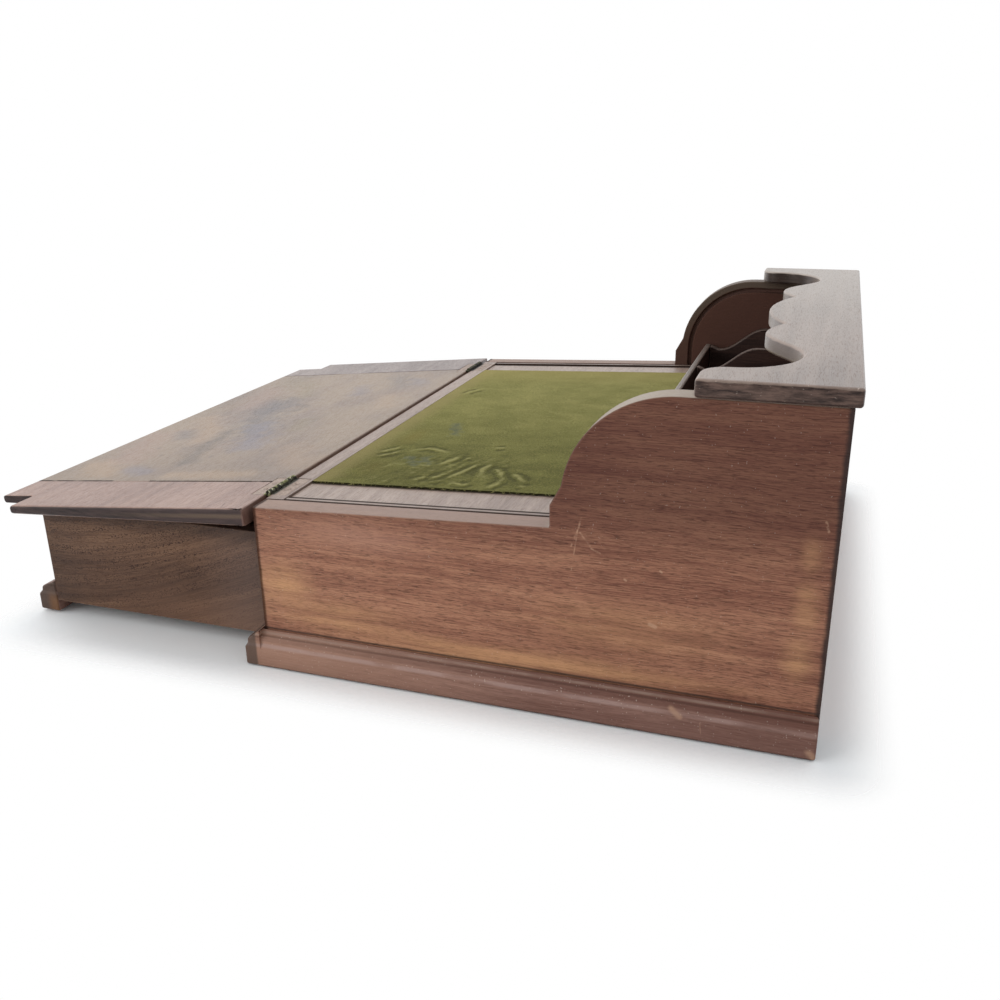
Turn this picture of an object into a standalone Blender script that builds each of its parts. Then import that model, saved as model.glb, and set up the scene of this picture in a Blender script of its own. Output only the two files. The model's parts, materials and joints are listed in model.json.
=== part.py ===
"""Lap desk: a walnut writing box with a scalloped shelf, a folding flap and a full-width drawer.

Metres, +Z up. The desk stands on Z = 0, its front is -Y, and X = 0 is its middle. The
origin is the centre of the case's footprint. It is drawn open, with the drawer pulled
out and the flap lying on it.
"""
import math

import bmesh
import bpy
from mathutils import Matrix

# Fits between pieces
JOINT_GAP = 0.0003
SLIDE_GAP = 0.0006

# Case
CASE_WIDTH = 0.330
CASE_DEPTH = 0.252
SIDE_THICKNESS = 0.012
BACK_THICKNESS = 0.0042
BOTTOM_THICKNESS = 0.005
SIDE_FRONT_HEIGHT = 0.0793
SIDE_HEIGHT = 0.1438
WRITING_SLOPE = math.radians(2.64)
STEP_DISTANCE = 0.1402
STEP_HEIGHT = 0.0095
SHOULDER_RUN = 0.0047
SHOULDER_RISE = 0.0088
ARCH_RADIUS = 0.046
ARCH_STEPS = 20
SIDE_ARRIS = 0.0016

# Groove that follows the arch on each side's inner face
GROOVE_INSET = 0.0057
GROOVE_WIDTH = 0.0026
GROOVE_DEPTH = 0.003
GROOVE_FOOT = 0.004
GROOVE_BACK_STOP = 0.012

# Plinth moulding; its section is in shares of its projection and its height
PLINTH_HEIGHT = 0.0186
PLINTH_SIDE_PROJECTION = 0.0048
PLINTH_FRONT_PROJECTION = 0.0086
MOULDING_CHAMFER_OUT = 0.77
MOULDING_CHAMFER_DOWN = 0.76
MOULDING_FILLET_OUT = 0.80
MOULDING_FILLET_DOWN = 0.63
MOULDING_BASE_TOP = 0.50

# Writing surface
RAIL_DEPTH = 0.0094
RAIL_DROP = 0.0172
BOARD_THICKNESS = 0.005
BOARD_RECESS = 0.0010
BEAD_WIDTH = 0.0036
BEAD_LINE = 0.0006
BEAD_RECESS = 0.0002
BEARER_WIDTH = 0.009
CLOTH_SIDE_MARGIN = 0.0272
CLOTH_MARGIN = 0.0012
CLOTH_THICKNESS = 0.0008

# Stationery rack
DUST_BOARD_THICKNESS = 0.003
RACK_DISTANCE = 0.1607
RACK_BOARD_THICKNESS = 0.0034
RACK_BOARD_RISE = 0.0146
RACK_BOARD_ROUNDING = 0.0009
DIVIDER_OFFSET = 0.0835
DIVIDER_THICKNESS = 0.0045
RACK_END_THICKNESS = 0.006
DIVIDER_DIP = 0.0021
DIVIDER_DIP_RUN = 0.0063
DIVIDER_RISE = 0.0147
DIVIDER_RISE_RUN = 0.029
DIVIDER_DIP_STEPS = 4
DIVIDER_RISE_STEPS = 10
DIVIDER_ROUNDING = 0.0007

# Scalloped shelf: widths from its ends, offsets from its middle, setbacks from its front
SHELF_END_OVERHANG = 0.0020
SHELF_DEPTH = 0.059
SHELF_BACK_OVERHANG = 0.0026
SHELF_THICKNESS = 0.0074
SHELF_ROUNDING = 0.0015
LOBE_CORNER_RADIUS = 0.0105
LOBE_WIDTH = 0.0235
BAY_HALF_WIDTH = 0.0295
BAY_DEPTH = 0.0358
INNER_LOBE_OFFSET = 0.0660
INNER_LOBE_SETBACK = 0.0175
NOTCH_OFFSET = 0.0430
NOTCH_SETBACK = 0.0248
CENTRE_LOBE_SETBACK = 0.0146
SCALLOP_STEPS = 12

# Drawer
DRAWER_INSET = 0.0039
DRAWER_TRAVEL = 0.1378
DRAWER_SIDE_THICKNESS = 0.008
DRAWER_FRONT_THICKNESS = 0.010
DRAWER_BACK_THICKNESS = 0.008
DRAWER_BACK_DROP = 0.004
DRAWER_PANEL_THICKNESS = 0.003
DRAWER_PANEL_RISE = 0.0022
DRAWER_PANEL_TONGUE = 0.003
DRAWER_MOULDING_CLEARANCE = 0.0008
RUNNER_THICKNESS = 0.0018
RUNNER_WIDTH = 0.010
STOP_WIDTH = 0.024
STOP_DEPTH = 0.013
STOP_HEIGHT = 0.010

# Drawer knobs
KNOB_OFFSET = 0.080
KNOB_RADIUS = 0.0070
KNOB_NECK_RADIUS = 0.0036
KNOB_FOOT_RADIUS = 0.0052
KNOB_LENGTH = 0.014
KNOB_TENON_RADIUS = 0.0026
KNOB_DOME_RISE = 0.0032
KNOB_RIM_HEIGHT = 0.0077
KNOB_NECK_HEIGHT = 0.0042
KNOB_FOOT_HEIGHT = 0.0020
KNOB_DOME_STEPS = 5
KNOB_STEPS = 24

# Flap
FLAP_OVERHANG = 0.0026
FLAP_STEP_CLEARANCE = 0.0048
TONGUE_RACK_CLEARANCE = 0.0063
FLAP_HINGE_THICKNESS = 0.0086
FLAP_FRONT_THICKNESS = 0.0046
FLAP_ROUNDING = 0.0015
HINGE_GAP = 0.0036
AXIS_RISE = 0.00025

# Hinges
HINGE_END_DISTANCE = 0.018
HINGE_LENGTH = 0.024
HINGE_ON_PANEL = 0.0055
LEAF_REACH = 0.0093
LEAF_THICKNESS = 0.0009
LEAF_SINK = 0.00005
KNUCKLE_RADIUS = 0.0015
KNUCKLE_COUNT = 5
PIN_RADIUS = 0.0006
PIN_FIT = 0.0001
HINGE_FIT = 0.0003
SCREW_SPACING = 0.008
SCREW_REACH = 0.0056
SCREW_HEAD_RADIUS = 0.0016
SCREW_SHANK_RADIUS = 0.0007
SCREW_LENGTH = 0.0042
SCREW_SIDES = 10
ROUND_SIDES = 16
SMOOTH_BELOW = math.radians(30)

# Places worked out from the sizes above
FRONT = -CASE_DEPTH / 2
BACK_FACE = CASE_DEPTH / 2 - BACK_THICKNESS
HALF_WIDTH = CASE_WIDTH / 2
INNER_HALF = HALF_WIDTH - SIDE_THICKNESS
FITTED_HALF = INNER_HALF - JOINT_GAP
BAY_BACK = BACK_FACE - JOINT_GAP
RACK_FRONT = FRONT + RACK_DISTANCE
RACK_BACK_OF_BOARD = RACK_FRONT + RACK_BOARD_THICKNESS
SHELF_BACK = CASE_DEPTH / 2 + SHELF_BACK_OVERHANG
SHELF_FRONT = SHELF_BACK - SHELF_DEPTH
SHELF_HALF_WIDTH = HALF_WIDTH + SHELF_END_OVERHANG
CLOTH_HALF_WIDTH = INNER_HALF - CLOTH_SIDE_MARGIN
RUNNER_TOP = BOTTOM_THICKNESS + JOINT_GAP + RUNNER_THICKNESS
DRAWER_FLOOR = RUNNER_TOP + JOINT_GAP
DRAWER_HALF = INNER_HALF - SLIDE_GAP
RAIL_BOTTOM = SIDE_FRONT_HEIGHT - RAIL_DROP
DRAWER_TOP = RAIL_BOTTOM - SLIDE_GAP
DUST_BOARD_BOTTOM = RAIL_BOTTOM
DUST_BOARD_TOP = DUST_BOARD_BOTTOM + DUST_BOARD_THICKNESS
STOP_FACE = BAY_BACK - STOP_DEPTH
DRAWER_LENGTH = STOP_FACE - SLIDE_GAP - FRONT - DRAWER_INSET
DRAWER_FACE = FRONT + DRAWER_INSET - DRAWER_TRAVEL
KNOB_HEIGHT = (PLINTH_HEIGHT + DRAWER_TOP) / 2
AXIS_Y = FRONT - HINGE_GAP / 2
FLAP_REAR = HINGE_GAP / 2
FLAP_HALF_WIDTH = HALF_WIDTH + FLAP_OVERHANG
FLAP_LENGTH = STEP_DISTANCE + FLAP_REAR - FLAP_STEP_CLEARANCE
TONGUE_HALF = INNER_HALF - SLIDE_GAP
TONGUE_END = RACK_DISTANCE + FLAP_REAR - TONGUE_RACK_CLEARANCE
HINGE_OFFSET = INNER_HALF - HINGE_END_DISTANCE
CLEAT_EDGE = HINGE_OFFSET - HINGE_LENGTH / 2 + HINGE_ON_PANEL

# Finishes: base colour, roughness, metallic
WALNUT = ((0.150, 0.060, 0.034), 0.42, 0.0)
WALNUT_TOP = ((0.190, 0.105, 0.075), 0.38, 0.0)
WALNUT_DARK = ((0.075, 0.038, 0.026), 0.50, 0.0)
DRAWER_WOOD = ((0.095, 0.058, 0.038), 0.55, 0.0)
BAIZE = ((0.130, 0.135, 0.030), 0.95, 0.0)
BRASS = ((0.300, 0.260, 0.110), 0.45, 1.0)


def writing_height(y):
    """Height of the sides' flat top above the place y."""
    return SIDE_FRONT_HEIGHT + (y - FRONT) * math.tan(WRITING_SLOPE)


AXIS_Z = writing_height(AXIS_Y) + AXIS_RISE / math.cos(WRITING_SLOPE)
RACK_BOARD_HEIGHT = writing_height(RACK_FRONT) + RACK_BOARD_RISE


def flap_droop():
    """Angle at which the open flap's underside lies on the drawer's front edge."""
    taper = math.atan2(FLAP_HINGE_THICKNESS - FLAP_FRONT_THICKNESS, FLAP_LENGTH - FLAP_REAR)
    underside = (AXIS_RISE + FLAP_HINGE_THICKNESS + FLAP_REAR * math.tan(taper)) * math.cos(taper)
    ahead = AXIS_Y - DRAWER_FACE
    below = AXIS_Z - DRAWER_TOP
    reach = math.hypot(ahead, below)
    return math.acos((underside + JOINT_GAP) / reach) - math.atan2(ahead, below) + taper


def clear_scene():
    for item in list(bpy.data.objects):
        bpy.data.objects.remove(item, do_unlink=True)


def new_collection(name):
    collection = bpy.data.collections.new(name)
    bpy.context.scene.collection.children.link(collection)
    return collection


clear_scene()
PARTS = new_collection("lap_desk")
CUTTERS = new_collection("cutters")


def new_empty(name, location, tilt=0.0):
    """A joint's frame, turned about X."""
    empty = bpy.data.objects.new(name, None)
    empty.location = location
    empty.rotation_euler = (tilt, 0.0, 0.0)
    PARTS.objects.link(empty)
    return empty


def add_object(name, mesh, finish=None, parent=None):
    """A part with its finish, or a cutter where there is none."""
    piece = bpy.data.objects.new(name, mesh)
    piece.parent = parent
    if finish is None:
        piece.hide_render = True
        piece.display_type = "WIRE"
        CUTTERS.objects.link(piece)
        return piece
    colour, roughness, metallic = finish
    material = bpy.data.materials.new(name + "_finish")
    material.use_nodes = True
    shader = material.node_tree.nodes["Principled BSDF"]
    shader.inputs["Base Color"].default_value = (*colour, 1.0)
    shader.inputs["Roughness"].default_value = roughness
    shader.inputs["Metallic"].default_value = metallic
    mesh.materials.append(material)
    mesh.shade_smooth()
    mesh.set_sharp_from_angle(angle=SMOOTH_BELOW)
    PARTS.objects.link(piece)
    return piece


def mesh_from(name, build):
    """A mesh made by a function that fills a bmesh."""
    work = bmesh.new()
    build(work)
    bmesh.ops.recalc_face_normals(work, faces=work.faces)
    mesh = bpy.data.meshes.new(name)
    work.to_mesh(mesh)
    work.free()
    return mesh


def box(name, low, high, finish=None, parent=None):
    """A block between two corners."""
    size = [b - a for a, b in zip(low, high)]
    middle = [(a + b) / 2 for a, b in zip(low, high)]
    place = Matrix.Translation(middle) @ Matrix.Diagonal((*size, 1.0))
    mesh = mesh_from(name, lambda work: bmesh.ops.create_cube(work, size=1.0, matrix=place))
    return add_object(name, mesh, finish, parent)


def cylinder_along(work, start, length, radius, end_radius, turn):
    """A round bar or cone of the given length from a point, along the turned Z axis."""
    place = Matrix.Translation(start) @ turn @ Matrix.Translation((0.0, 0.0, length / 2))
    bmesh.ops.create_cone(
        work, cap_ends=True, segments=ROUND_SIDES, radius1=radius, radius2=end_radius,
        depth=length, matrix=place)


ALONG_X = Matrix.Rotation(math.pi / 2, 4, "Y")
ALONG_Y = Matrix.Rotation(-math.pi / 2, 4, "X")
DOWN_Z = Matrix.Rotation(math.pi, 4, "X")
PROFILE_TO_X = Matrix.Rotation(math.pi / 2, 4, "Z") @ Matrix.Rotation(math.pi / 2, 4, "X")


def extruded(name, points, place, thickness):
    """A closed mesh: a flat outline given thickness, in a frame."""
    curve = bpy.data.curves.new(name, "CURVE")
    curve.dimensions = "2D"
    curve.fill_mode = "BOTH"
    curve.extrude = thickness / 2
    spline = curve.splines.new("POLY")
    spline.points.add(len(points) - 1)
    for point, (across, up) in zip(spline.points, points):
        point.co = (across, up, 0.0, 1.0)
    spline.use_cyclic_u = True
    outline = bpy.data.objects.new(name, curve)
    CUTTERS.objects.link(outline)
    evaluated = outline.evaluated_get(bpy.context.evaluated_depsgraph_get())
    mesh = bpy.data.meshes.new_from_object(evaluated)
    bpy.data.objects.remove(outline, do_unlink=True)
    bpy.data.curves.remove(curve)
    work = bmesh.new()
    work.from_mesh(mesh)
    bmesh.ops.remove_doubles(work, verts=work.verts, dist=1e-6)
    work.transform(place)
    bmesh.ops.recalc_face_normals(work, faces=work.faces)
    work.to_mesh(mesh)
    work.free()
    return mesh


def profile_between(name, points, x_low, x_high, finish=None, parent=None):
    """A YZ outline extruded from one X to another."""
    place = Matrix.Translation(((x_low + x_high) / 2, 0.0, 0.0)) @ PROFILE_TO_X
    return add_object(name, extruded(name, points, place, x_high - x_low), finish, parent)


def plan_between(name, points, z_low, z_high, finish=None, parent=None):
    """An XY outline extruded from one height to another."""
    place = Matrix.Translation((0.0, 0.0, (z_low + z_high) / 2))
    return add_object(name, extruded(name, points, place, z_high - z_low), finish, parent)


def round_edges(piece, width, segments, chosen):
    """Rounds the edges whose two ends satisfy a test."""
    weights = piece.data.attributes.new("bevel_weight_edge", "FLOAT", "EDGE")
    for edge in piece.data.edges:
        ends = [piece.data.vertices[index].co for index in edge.vertices]
        weights.data[edge.index].value = float(chosen(*ends))
    rounding = piece.modifiers.new("Rounding", "BEVEL")
    rounding.limit_method = "WEIGHT"
    rounding.width = width
    rounding.segments = segments


def cut(piece, cutter):
    modifier = piece.modifiers.new(cutter.name, "BOOLEAN")
    modifier.operation = "DIFFERENCE"
    modifier.object = cutter


def unite(piece, addition):
    modifier = piece.modifiers.new(addition.name, "BOOLEAN")
    modifier.operation = "UNION"
    modifier.object = addition


def both_sides(function):
    """Runs a function for the right-hand piece (+X) and its left-hand twin."""
    for label, side in (("right", 1), ("left", -1)):
        function(label, side)


def span(side, inner, outer):
    """Low and high X of a piece between two distances from the middle."""
    return (inner, outer) if side > 0 else (-outer, -inner)


def arc(centre, radius, start, end, steps):
    """Points along an arc, angles in radians from +first axis."""
    points = []
    for index in range(steps + 1):
        angle = start + (end - start) * index / steps
        points.append((centre[0] + radius * math.cos(angle), centre[1] + radius * math.sin(angle)))
    return points


def arch_centre():
    """Centre of the quarter round, which meets the shoulder's top and the side's top."""
    shoulder_y = FRONT + STEP_DISTANCE + SHOULDER_RUN
    shoulder_z = writing_height(FRONT + STEP_DISTANCE) + STEP_HEIGHT + SHOULDER_RISE
    centre_z = SIDE_HEIGHT - ARCH_RADIUS
    run = math.sqrt(ARCH_RADIUS ** 2 - (shoulder_z - centre_z) ** 2)
    return shoulder_y + run, centre_z


def side_profile():
    step_y = FRONT + STEP_DISTANCE
    step_z = writing_height(step_y)
    centre = arch_centre()
    shoulder = (step_y + SHOULDER_RUN, step_z + STEP_HEIGHT + SHOULDER_RISE)
    start = math.atan2(shoulder[1] - centre[1], shoulder[0] - centre[0])
    outline = [(FRONT, 0.0), (CASE_DEPTH / 2, 0.0), (CASE_DEPTH / 2, SIDE_HEIGHT)]
    outline += arc(centre, ARCH_RADIUS, math.pi / 2, start, ARCH_STEPS)
    outline += [(step_y, step_z + STEP_HEIGHT), (step_y, step_z), (FRONT, SIDE_FRONT_HEIGHT)]
    return outline


def groove_band():
    """Outline of the groove: up from the writing surface, round the arch and back."""
    centre = arch_centre()
    middle = ARCH_RADIUS - GROOVE_INSET
    foot = writing_height(centre[0] - middle) - GROOVE_FOOT
    back = BAY_BACK - GROOVE_BACK_STOP
    outer = middle + GROOVE_WIDTH / 2
    inner = middle - GROOVE_WIDTH / 2
    outline = [(centre[0] - outer, foot), (centre[0] - inner, foot)]
    outline += arc(centre, inner, math.pi, math.pi / 2, ARCH_STEPS)
    outline += [(back, centre[1] + inner), (back, centre[1] + outer)]
    outline += arc(centre, outer, math.pi / 2, math.pi, ARCH_STEPS)
    return outline


def make_side(label, side):
    low, high = span(side, INNER_HALF, HALF_WIDTH)
    piece = profile_between("side_" + label, side_profile(), low, high, WALNUT)
    outer = side * HALF_WIDTH
    round_edges(
        piece, SIDE_ARRIS, 3,
        lambda a, b: all(abs(v.x - outer) < 1e-6 and abs(v.y - FRONT) < 1e-6 for v in (a, b)))
    low, high = span(side, INNER_HALF - GROOVE_DEPTH, INNER_HALF + GROOVE_DEPTH)
    cut(piece, profile_between("groove_cutter_" + label, groove_band(), low, high))


def moulding_profile(face, projection, bottom):
    """Plinth section standing out towards a negative first axis from a face."""
    height = PLINTH_HEIGHT - bottom
    section = [
        (0.0, 1.0), (MOULDING_CHAMFER_OUT, MOULDING_CHAMFER_DOWN),
        (MOULDING_FILLET_OUT, MOULDING_FILLET_DOWN), (1.0, MOULDING_BASE_TOP), (1.0, 0.0), (0.0, 0.0)]
    return [(face - out * projection, bottom + up * height) for out, up in section]


def make_plinth(label, side):
    """Side moulding along the case, and its square-cut return on the front edge."""
    section = moulding_profile(0.0, PLINTH_SIDE_PROJECTION - JOINT_GAP, 0.0)
    inner = HALF_WIDTH + JOINT_GAP
    outline = [(side * (inner - out), up) for out, up in section]
    turn = Matrix.Rotation(math.pi / 2, 4, "X")
    mesh = extruded("plinth_" + label, outline, turn, CASE_DEPTH)
    add_object("plinth_" + label, mesh, WALNUT)
    section = moulding_profile(FRONT - JOINT_GAP, PLINTH_FRONT_PROJECTION - JOINT_GAP, 0.0)
    low, high = span(side, INNER_HALF, HALF_WIDTH + PLINTH_SIDE_PROJECTION)
    profile_between("plinth_return_" + label, section, low, high, WALNUT)


def make_case():
    both_sides(make_side)
    both_sides(make_plinth)
    box("back_board", (-FITTED_HALF, BACK_FACE, 0.0), (FITTED_HALF, CASE_DEPTH / 2, SIDE_HEIGHT), WALNUT)
    box("bottom_board", (-FITTED_HALF, FRONT + DRAWER_INSET + SLIDE_GAP, 0.0),
        (FITTED_HALF, BAY_BACK, BOTTOM_THICKNESS), DRAWER_WOOD)
    box("dust_board", (-FITTED_HALF, FRONT + RAIL_DEPTH + JOINT_GAP, DUST_BOARD_BOTTOM),
        (FITTED_HALF, BAY_BACK, DUST_BOARD_TOP), WALNUT_DARK)
    both_sides(make_runner)


def make_runner(label, side):
    """Strip that the drawer slides on, and the block that stops it at the back."""
    low, high = span(side, FITTED_HALF - RUNNER_WIDTH, FITTED_HALF)
    start = FRONT + DRAWER_INSET + SLIDE_GAP
    foot = BOTTOM_THICKNESS + JOINT_GAP
    box("runner_" + label, (low, start, foot), (high, BAY_BACK, RUNNER_TOP), DRAWER_WOOD)
    stop_outer = FITTED_HALF - RUNNER_WIDTH - JOINT_GAP
    low, high = span(side, stop_outer - STOP_WIDTH, stop_outer)
    box("drawer_stop_" + label, (low, STOP_FACE, foot), (high, BAY_BACK, foot + STOP_HEIGHT), DRAWER_WOOD)


def sloped_slab(name, y_low, y_high, sink, thickness, x_low, x_high, finish):
    """A board that lies parallel to the writing slope, sunk below the sides' tops."""
    top_front = writing_height(y_low) - sink
    top_back = writing_height(y_high) - sink
    outline = [
        (y_low, top_front - thickness), (y_high, top_back - thickness),
        (y_high, top_back), (y_low, top_front)]
    return profile_between(name, outline, x_low, x_high, finish)


def make_writing_surface():
    rail_back = FRONT + RAIL_DEPTH
    outline = [
        (FRONT, RAIL_BOTTOM), (rail_back, RAIL_BOTTOM), (rail_back, writing_height(rail_back)),
        (FRONT, SIDE_FRONT_HEIGHT)]
    rail = profile_between("front_rail", outline, -FITTED_HALF, FITTED_HALF, WALNUT_TOP)
    board_front = rail_back + JOINT_GAP
    board_back = RACK_FRONT - JOINT_GAP
    board_half = FITTED_HALF - BEAD_WIDTH - BEAD_LINE
    sloped_slab("writing_board", board_front, board_back, BOARD_RECESS, BOARD_THICKNESS,
                -board_half, board_half, WALNUT_TOP)
    cloth_sink = BOARD_RECESS - CLOTH_THICKNESS - JOINT_GAP
    sloped_slab("writing_cloth", board_front + CLOTH_MARGIN, board_back - JOINT_GAP, cloth_sink,
                CLOTH_THICKNESS, -CLOTH_HALF_WIDTH, CLOTH_HALF_WIDTH, BAIZE)

    def make_edging(label, side):
        low, high = span(side, FITTED_HALF - BEAD_WIDTH, FITTED_HALF)
        underside = BOARD_RECESS + BOARD_THICKNESS
        sloped_slab("bead_" + label, board_front, board_back, BEAD_RECESS, underside - BEAD_RECESS,
                    low, high, WALNUT_TOP)
        low, high = span(side, FITTED_HALF - BEARER_WIDTH, FITTED_HALF)
        foot = DUST_BOARD_TOP + JOINT_GAP
        top_sink = underside + JOINT_GAP
        wedge = [
            (board_front, foot), (board_back, foot),
            (board_back, writing_height(board_back) - top_sink),
            (board_front, writing_height(board_front) - top_sink)]
        profile_between("bearer_" + label, wedge, low, high, DRAWER_WOOD)

    both_sides(make_edging)
    return rail


def divider_profile():
    """Outline of a rack divider: it dips behind the front board, then rises in an S."""
    front = RACK_BACK_OF_BOARD + JOINT_GAP
    foot = DUST_BOARD_TOP + JOINT_GAP
    top = RACK_BOARD_HEIGHT - RACK_BOARD_ROUNDING / 2
    dip = top - DIVIDER_DIP

    def wave(y_start, z_start, run, rise, steps):
        points = []
        for index in range(steps + 1):
            share = index / steps
            points.append((y_start + run * share, z_start + rise * (1 - math.cos(math.pi * share)) / 2))
        return points

    crest = wave(front, top, DIVIDER_DIP_RUN, -DIVIDER_DIP, DIVIDER_DIP_STEPS)
    crest += wave(front + DIVIDER_DIP_RUN, dip, DIVIDER_RISE_RUN, DIVIDER_RISE, DIVIDER_RISE_STEPS)[1:]
    crest.append((BAY_BACK, dip + DIVIDER_RISE))
    return [(front, foot)] + crest + [(BAY_BACK, foot)]


def make_rack():
    board = box("rack_front_board", (-FITTED_HALF, RACK_FRONT, DUST_BOARD_TOP + JOINT_GAP),
                (FITTED_HALF, RACK_BACK_OF_BOARD, RACK_BOARD_HEIGHT), WALNUT)
    round_edges(
        board, RACK_BOARD_ROUNDING, 2,
        lambda a, b: min(a.z, b.z) > RACK_BOARD_HEIGHT - 1e-6 and abs(a.y - b.y) < 1e-6)
    foot = DUST_BOARD_TOP + JOINT_GAP

    def make_upright(name, low, high):
        piece = profile_between(name, divider_profile(), low, high, WALNUT_DARK)
        on_rim = rim_test(piece.data, 0)
        round_edges(
            piece, DIVIDER_ROUNDING, 2,
            lambda a, b: min(a.z, b.z) > foot + DIVIDER_RISE and on_rim(a, b))

    def make_pair(label, side):
        half = DIVIDER_THICKNESS / 2
        make_upright("rack_divider_" + label, *span(side, DIVIDER_OFFSET - half, DIVIDER_OFFSET + half))
        make_upright("rack_end_" + label, *span(side, FITTED_HALF - RACK_END_THICKNESS, FITTED_HALF))

    both_sides(make_pair)


def shelf_half_front():
    """Front edge of the shelf's right half, from its outer corner to the middle."""
    corner_y = SHELF_FRONT + LOBE_CORNER_RADIUS
    lobe_edge = SHELF_HALF_WIDTH - LOBE_WIDTH
    corner = arc((lobe_edge + LOBE_CORNER_RADIUS, corner_y), LOBE_CORNER_RADIUS,
                 -math.pi / 2, -math.pi, SCALLOP_STEPS)
    apex = (lobe_edge - BAY_HALF_WIDTH, SHELF_FRONT + BAY_DEPTH)
    lobe = (INNER_LOBE_OFFSET, SHELF_FRONT + INNER_LOBE_SETBACK)
    notch = (NOTCH_OFFSET, SHELF_FRONT + NOTCH_SETBACK)
    edge = [(SHELF_HALF_WIDTH, SHELF_FRONT)] + corner
    for index in range(1, SCALLOP_STEPS):
        angle = math.pi / 2 * index / SCALLOP_STEPS
        edge.append((apex[0] + (lobe_edge - apex[0]) * math.cos(angle),
                     corner_y + (apex[1] - corner_y) * math.sin(angle)))
    edge.append(apex)
    for index in range(1, SCALLOP_STEPS + 1):
        share = index / SCALLOP_STEPS
        fall = (1 - math.cos(math.pi * share)) / 2
        edge.append((apex[0] + (lobe[0] - apex[0]) * share, apex[1] + (lobe[1] - apex[1]) * fall))
    for index in range(1, SCALLOP_STEPS + 1):
        share = index / SCALLOP_STEPS
        edge.append((lobe[0] + (notch[0] - lobe[0]) * share, lobe[1] + (notch[1] - lobe[1]) * share ** 2))
    sagitta = NOTCH_SETBACK - CENTRE_LOBE_SETBACK
    radius = (notch[0] ** 2 + sagitta ** 2) / (2 * sagitta)
    half_angle = math.asin(notch[0] / radius)
    centre = (0.0, SHELF_FRONT + CENTRE_LOBE_SETBACK + radius)
    edge += arc(centre, radius, -math.pi / 2 + half_angle, -math.pi / 2, SCALLOP_STEPS)[1:]
    return edge


def make_shelf():
    right = shelf_half_front()
    left = [(-x, y) for x, y in reversed(right[:-1])]
    outline = [(SHELF_HALF_WIDTH, SHELF_BACK)] + right + left + [(-SHELF_HALF_WIDTH, SHELF_BACK)]
    bottom = SIDE_HEIGHT + JOINT_GAP
    shelf = plan_between("top_shelf", outline, bottom, bottom + SHELF_THICKNESS, WALNUT_TOP)
    on_rim = rim_test(shelf.data, 2)

    def straight_rim(a, b):
        at_end = min(abs(a.x), abs(b.x)) > SHELF_HALF_WIDTH - 1e-6
        at_back = min(a.y, b.y) > SHELF_BACK - 1e-6
        return on_rim(a, b) and (at_end or at_back)

    round_edges(shelf, SHELF_ROUNDING, 3, straight_rim)


def rim_test(mesh, axis):
    """Tells the edges round a slab's two flat faces, square to an axis, from those inside them."""
    normals = {}
    for face in mesh.polygons:
        for key in face.edge_keys:
            normals.setdefault(key, []).append(face.normal)
    rims = set()
    for (first, second), found in normals.items():
        level = [abs(normal[axis]) > 0.9 for normal in found]
        if any(level) and not all(level):
            rims.add(edge_place(mesh.vertices[first].co, mesh.vertices[second].co))
    return lambda a, b: edge_place(a, b) in rims


def edge_place(a, b):
    return tuple(round(value, 7) for value in (a + b) / 2)


def make_drawer():
    """The drawer, in a frame whose Y = 0 is its front face and +Y goes back into the case."""
    slide = new_empty("drawer_slide", (0.0, DRAWER_FACE, 0.0))
    inner = DRAWER_HALF - DRAWER_SIDE_THICKNESS
    fitted = inner - JOINT_GAP
    panel_bottom = DRAWER_FLOOR + DRAWER_PANEL_RISE
    panel_top = panel_bottom + DRAWER_PANEL_THICKNESS
    panel_half = inner + DRAWER_PANEL_TONGUE
    panel_front = DRAWER_FRONT_THICKNESS - DRAWER_PANEL_TONGUE
    slot_half = panel_half + JOINT_GAP
    slot = box("drawer_slot_cutter",
               (-slot_half, panel_front - JOINT_GAP, panel_bottom - JOINT_GAP),
               (slot_half, 2 * DRAWER_LENGTH, panel_top + JOINT_GAP), parent=slide)
    front = box("drawer_front", (-fitted, 0.0, DRAWER_FLOOR),
                (fitted, DRAWER_FRONT_THICKNESS, DRAWER_TOP), WALNUT, slide)
    cut(front, slot)
    box("drawer_back", (-fitted, DRAWER_LENGTH - DRAWER_BACK_THICKNESS, panel_top + JOINT_GAP),
        (fitted, DRAWER_LENGTH, DRAWER_TOP - DRAWER_BACK_DROP), DRAWER_WOOD, slide)
    box("drawer_bottom", (-panel_half, panel_front, panel_bottom), (panel_half, DRAWER_LENGTH, panel_top),
        DRAWER_WOOD, slide)
    section = moulding_profile(-JOINT_GAP, PLINTH_FRONT_PROJECTION + DRAWER_INSET - JOINT_GAP,
                               DRAWER_MOULDING_CLEARANCE)
    profile_between("drawer_moulding", section, -DRAWER_HALF, DRAWER_HALF, WALNUT, slide)

    def make_drawer_side(label, side):
        low, high = span(side, inner, DRAWER_HALF)
        piece = box("drawer_side_" + label, (low, 0.0, DRAWER_FLOOR), (high, DRAWER_LENGTH, DRAWER_TOP),
                    DRAWER_WOOD, slide)
        cut(piece, slot)

    def make_knob(label, side):
        place = (side * KNOB_OFFSET, 0.0, KNOB_HEIGHT)
        knob = turned_knob("drawer_knob_" + label, slide)
        knob.location = place
        hole = mesh_from("knob_hole_cutter_" + label, lambda work: cylinder_along(
            work, (place[0], -DRAWER_FRONT_THICKNESS, place[2]), 3 * DRAWER_FRONT_THICKNESS,
            KNOB_TENON_RADIUS + JOINT_GAP, KNOB_TENON_RADIUS + JOINT_GAP, ALONG_Y))
        cut(front, add_object("knob_hole_cutter_" + label, hole, parent=slide))

    both_sides(make_drawer_side)
    both_sides(make_knob)


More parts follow.
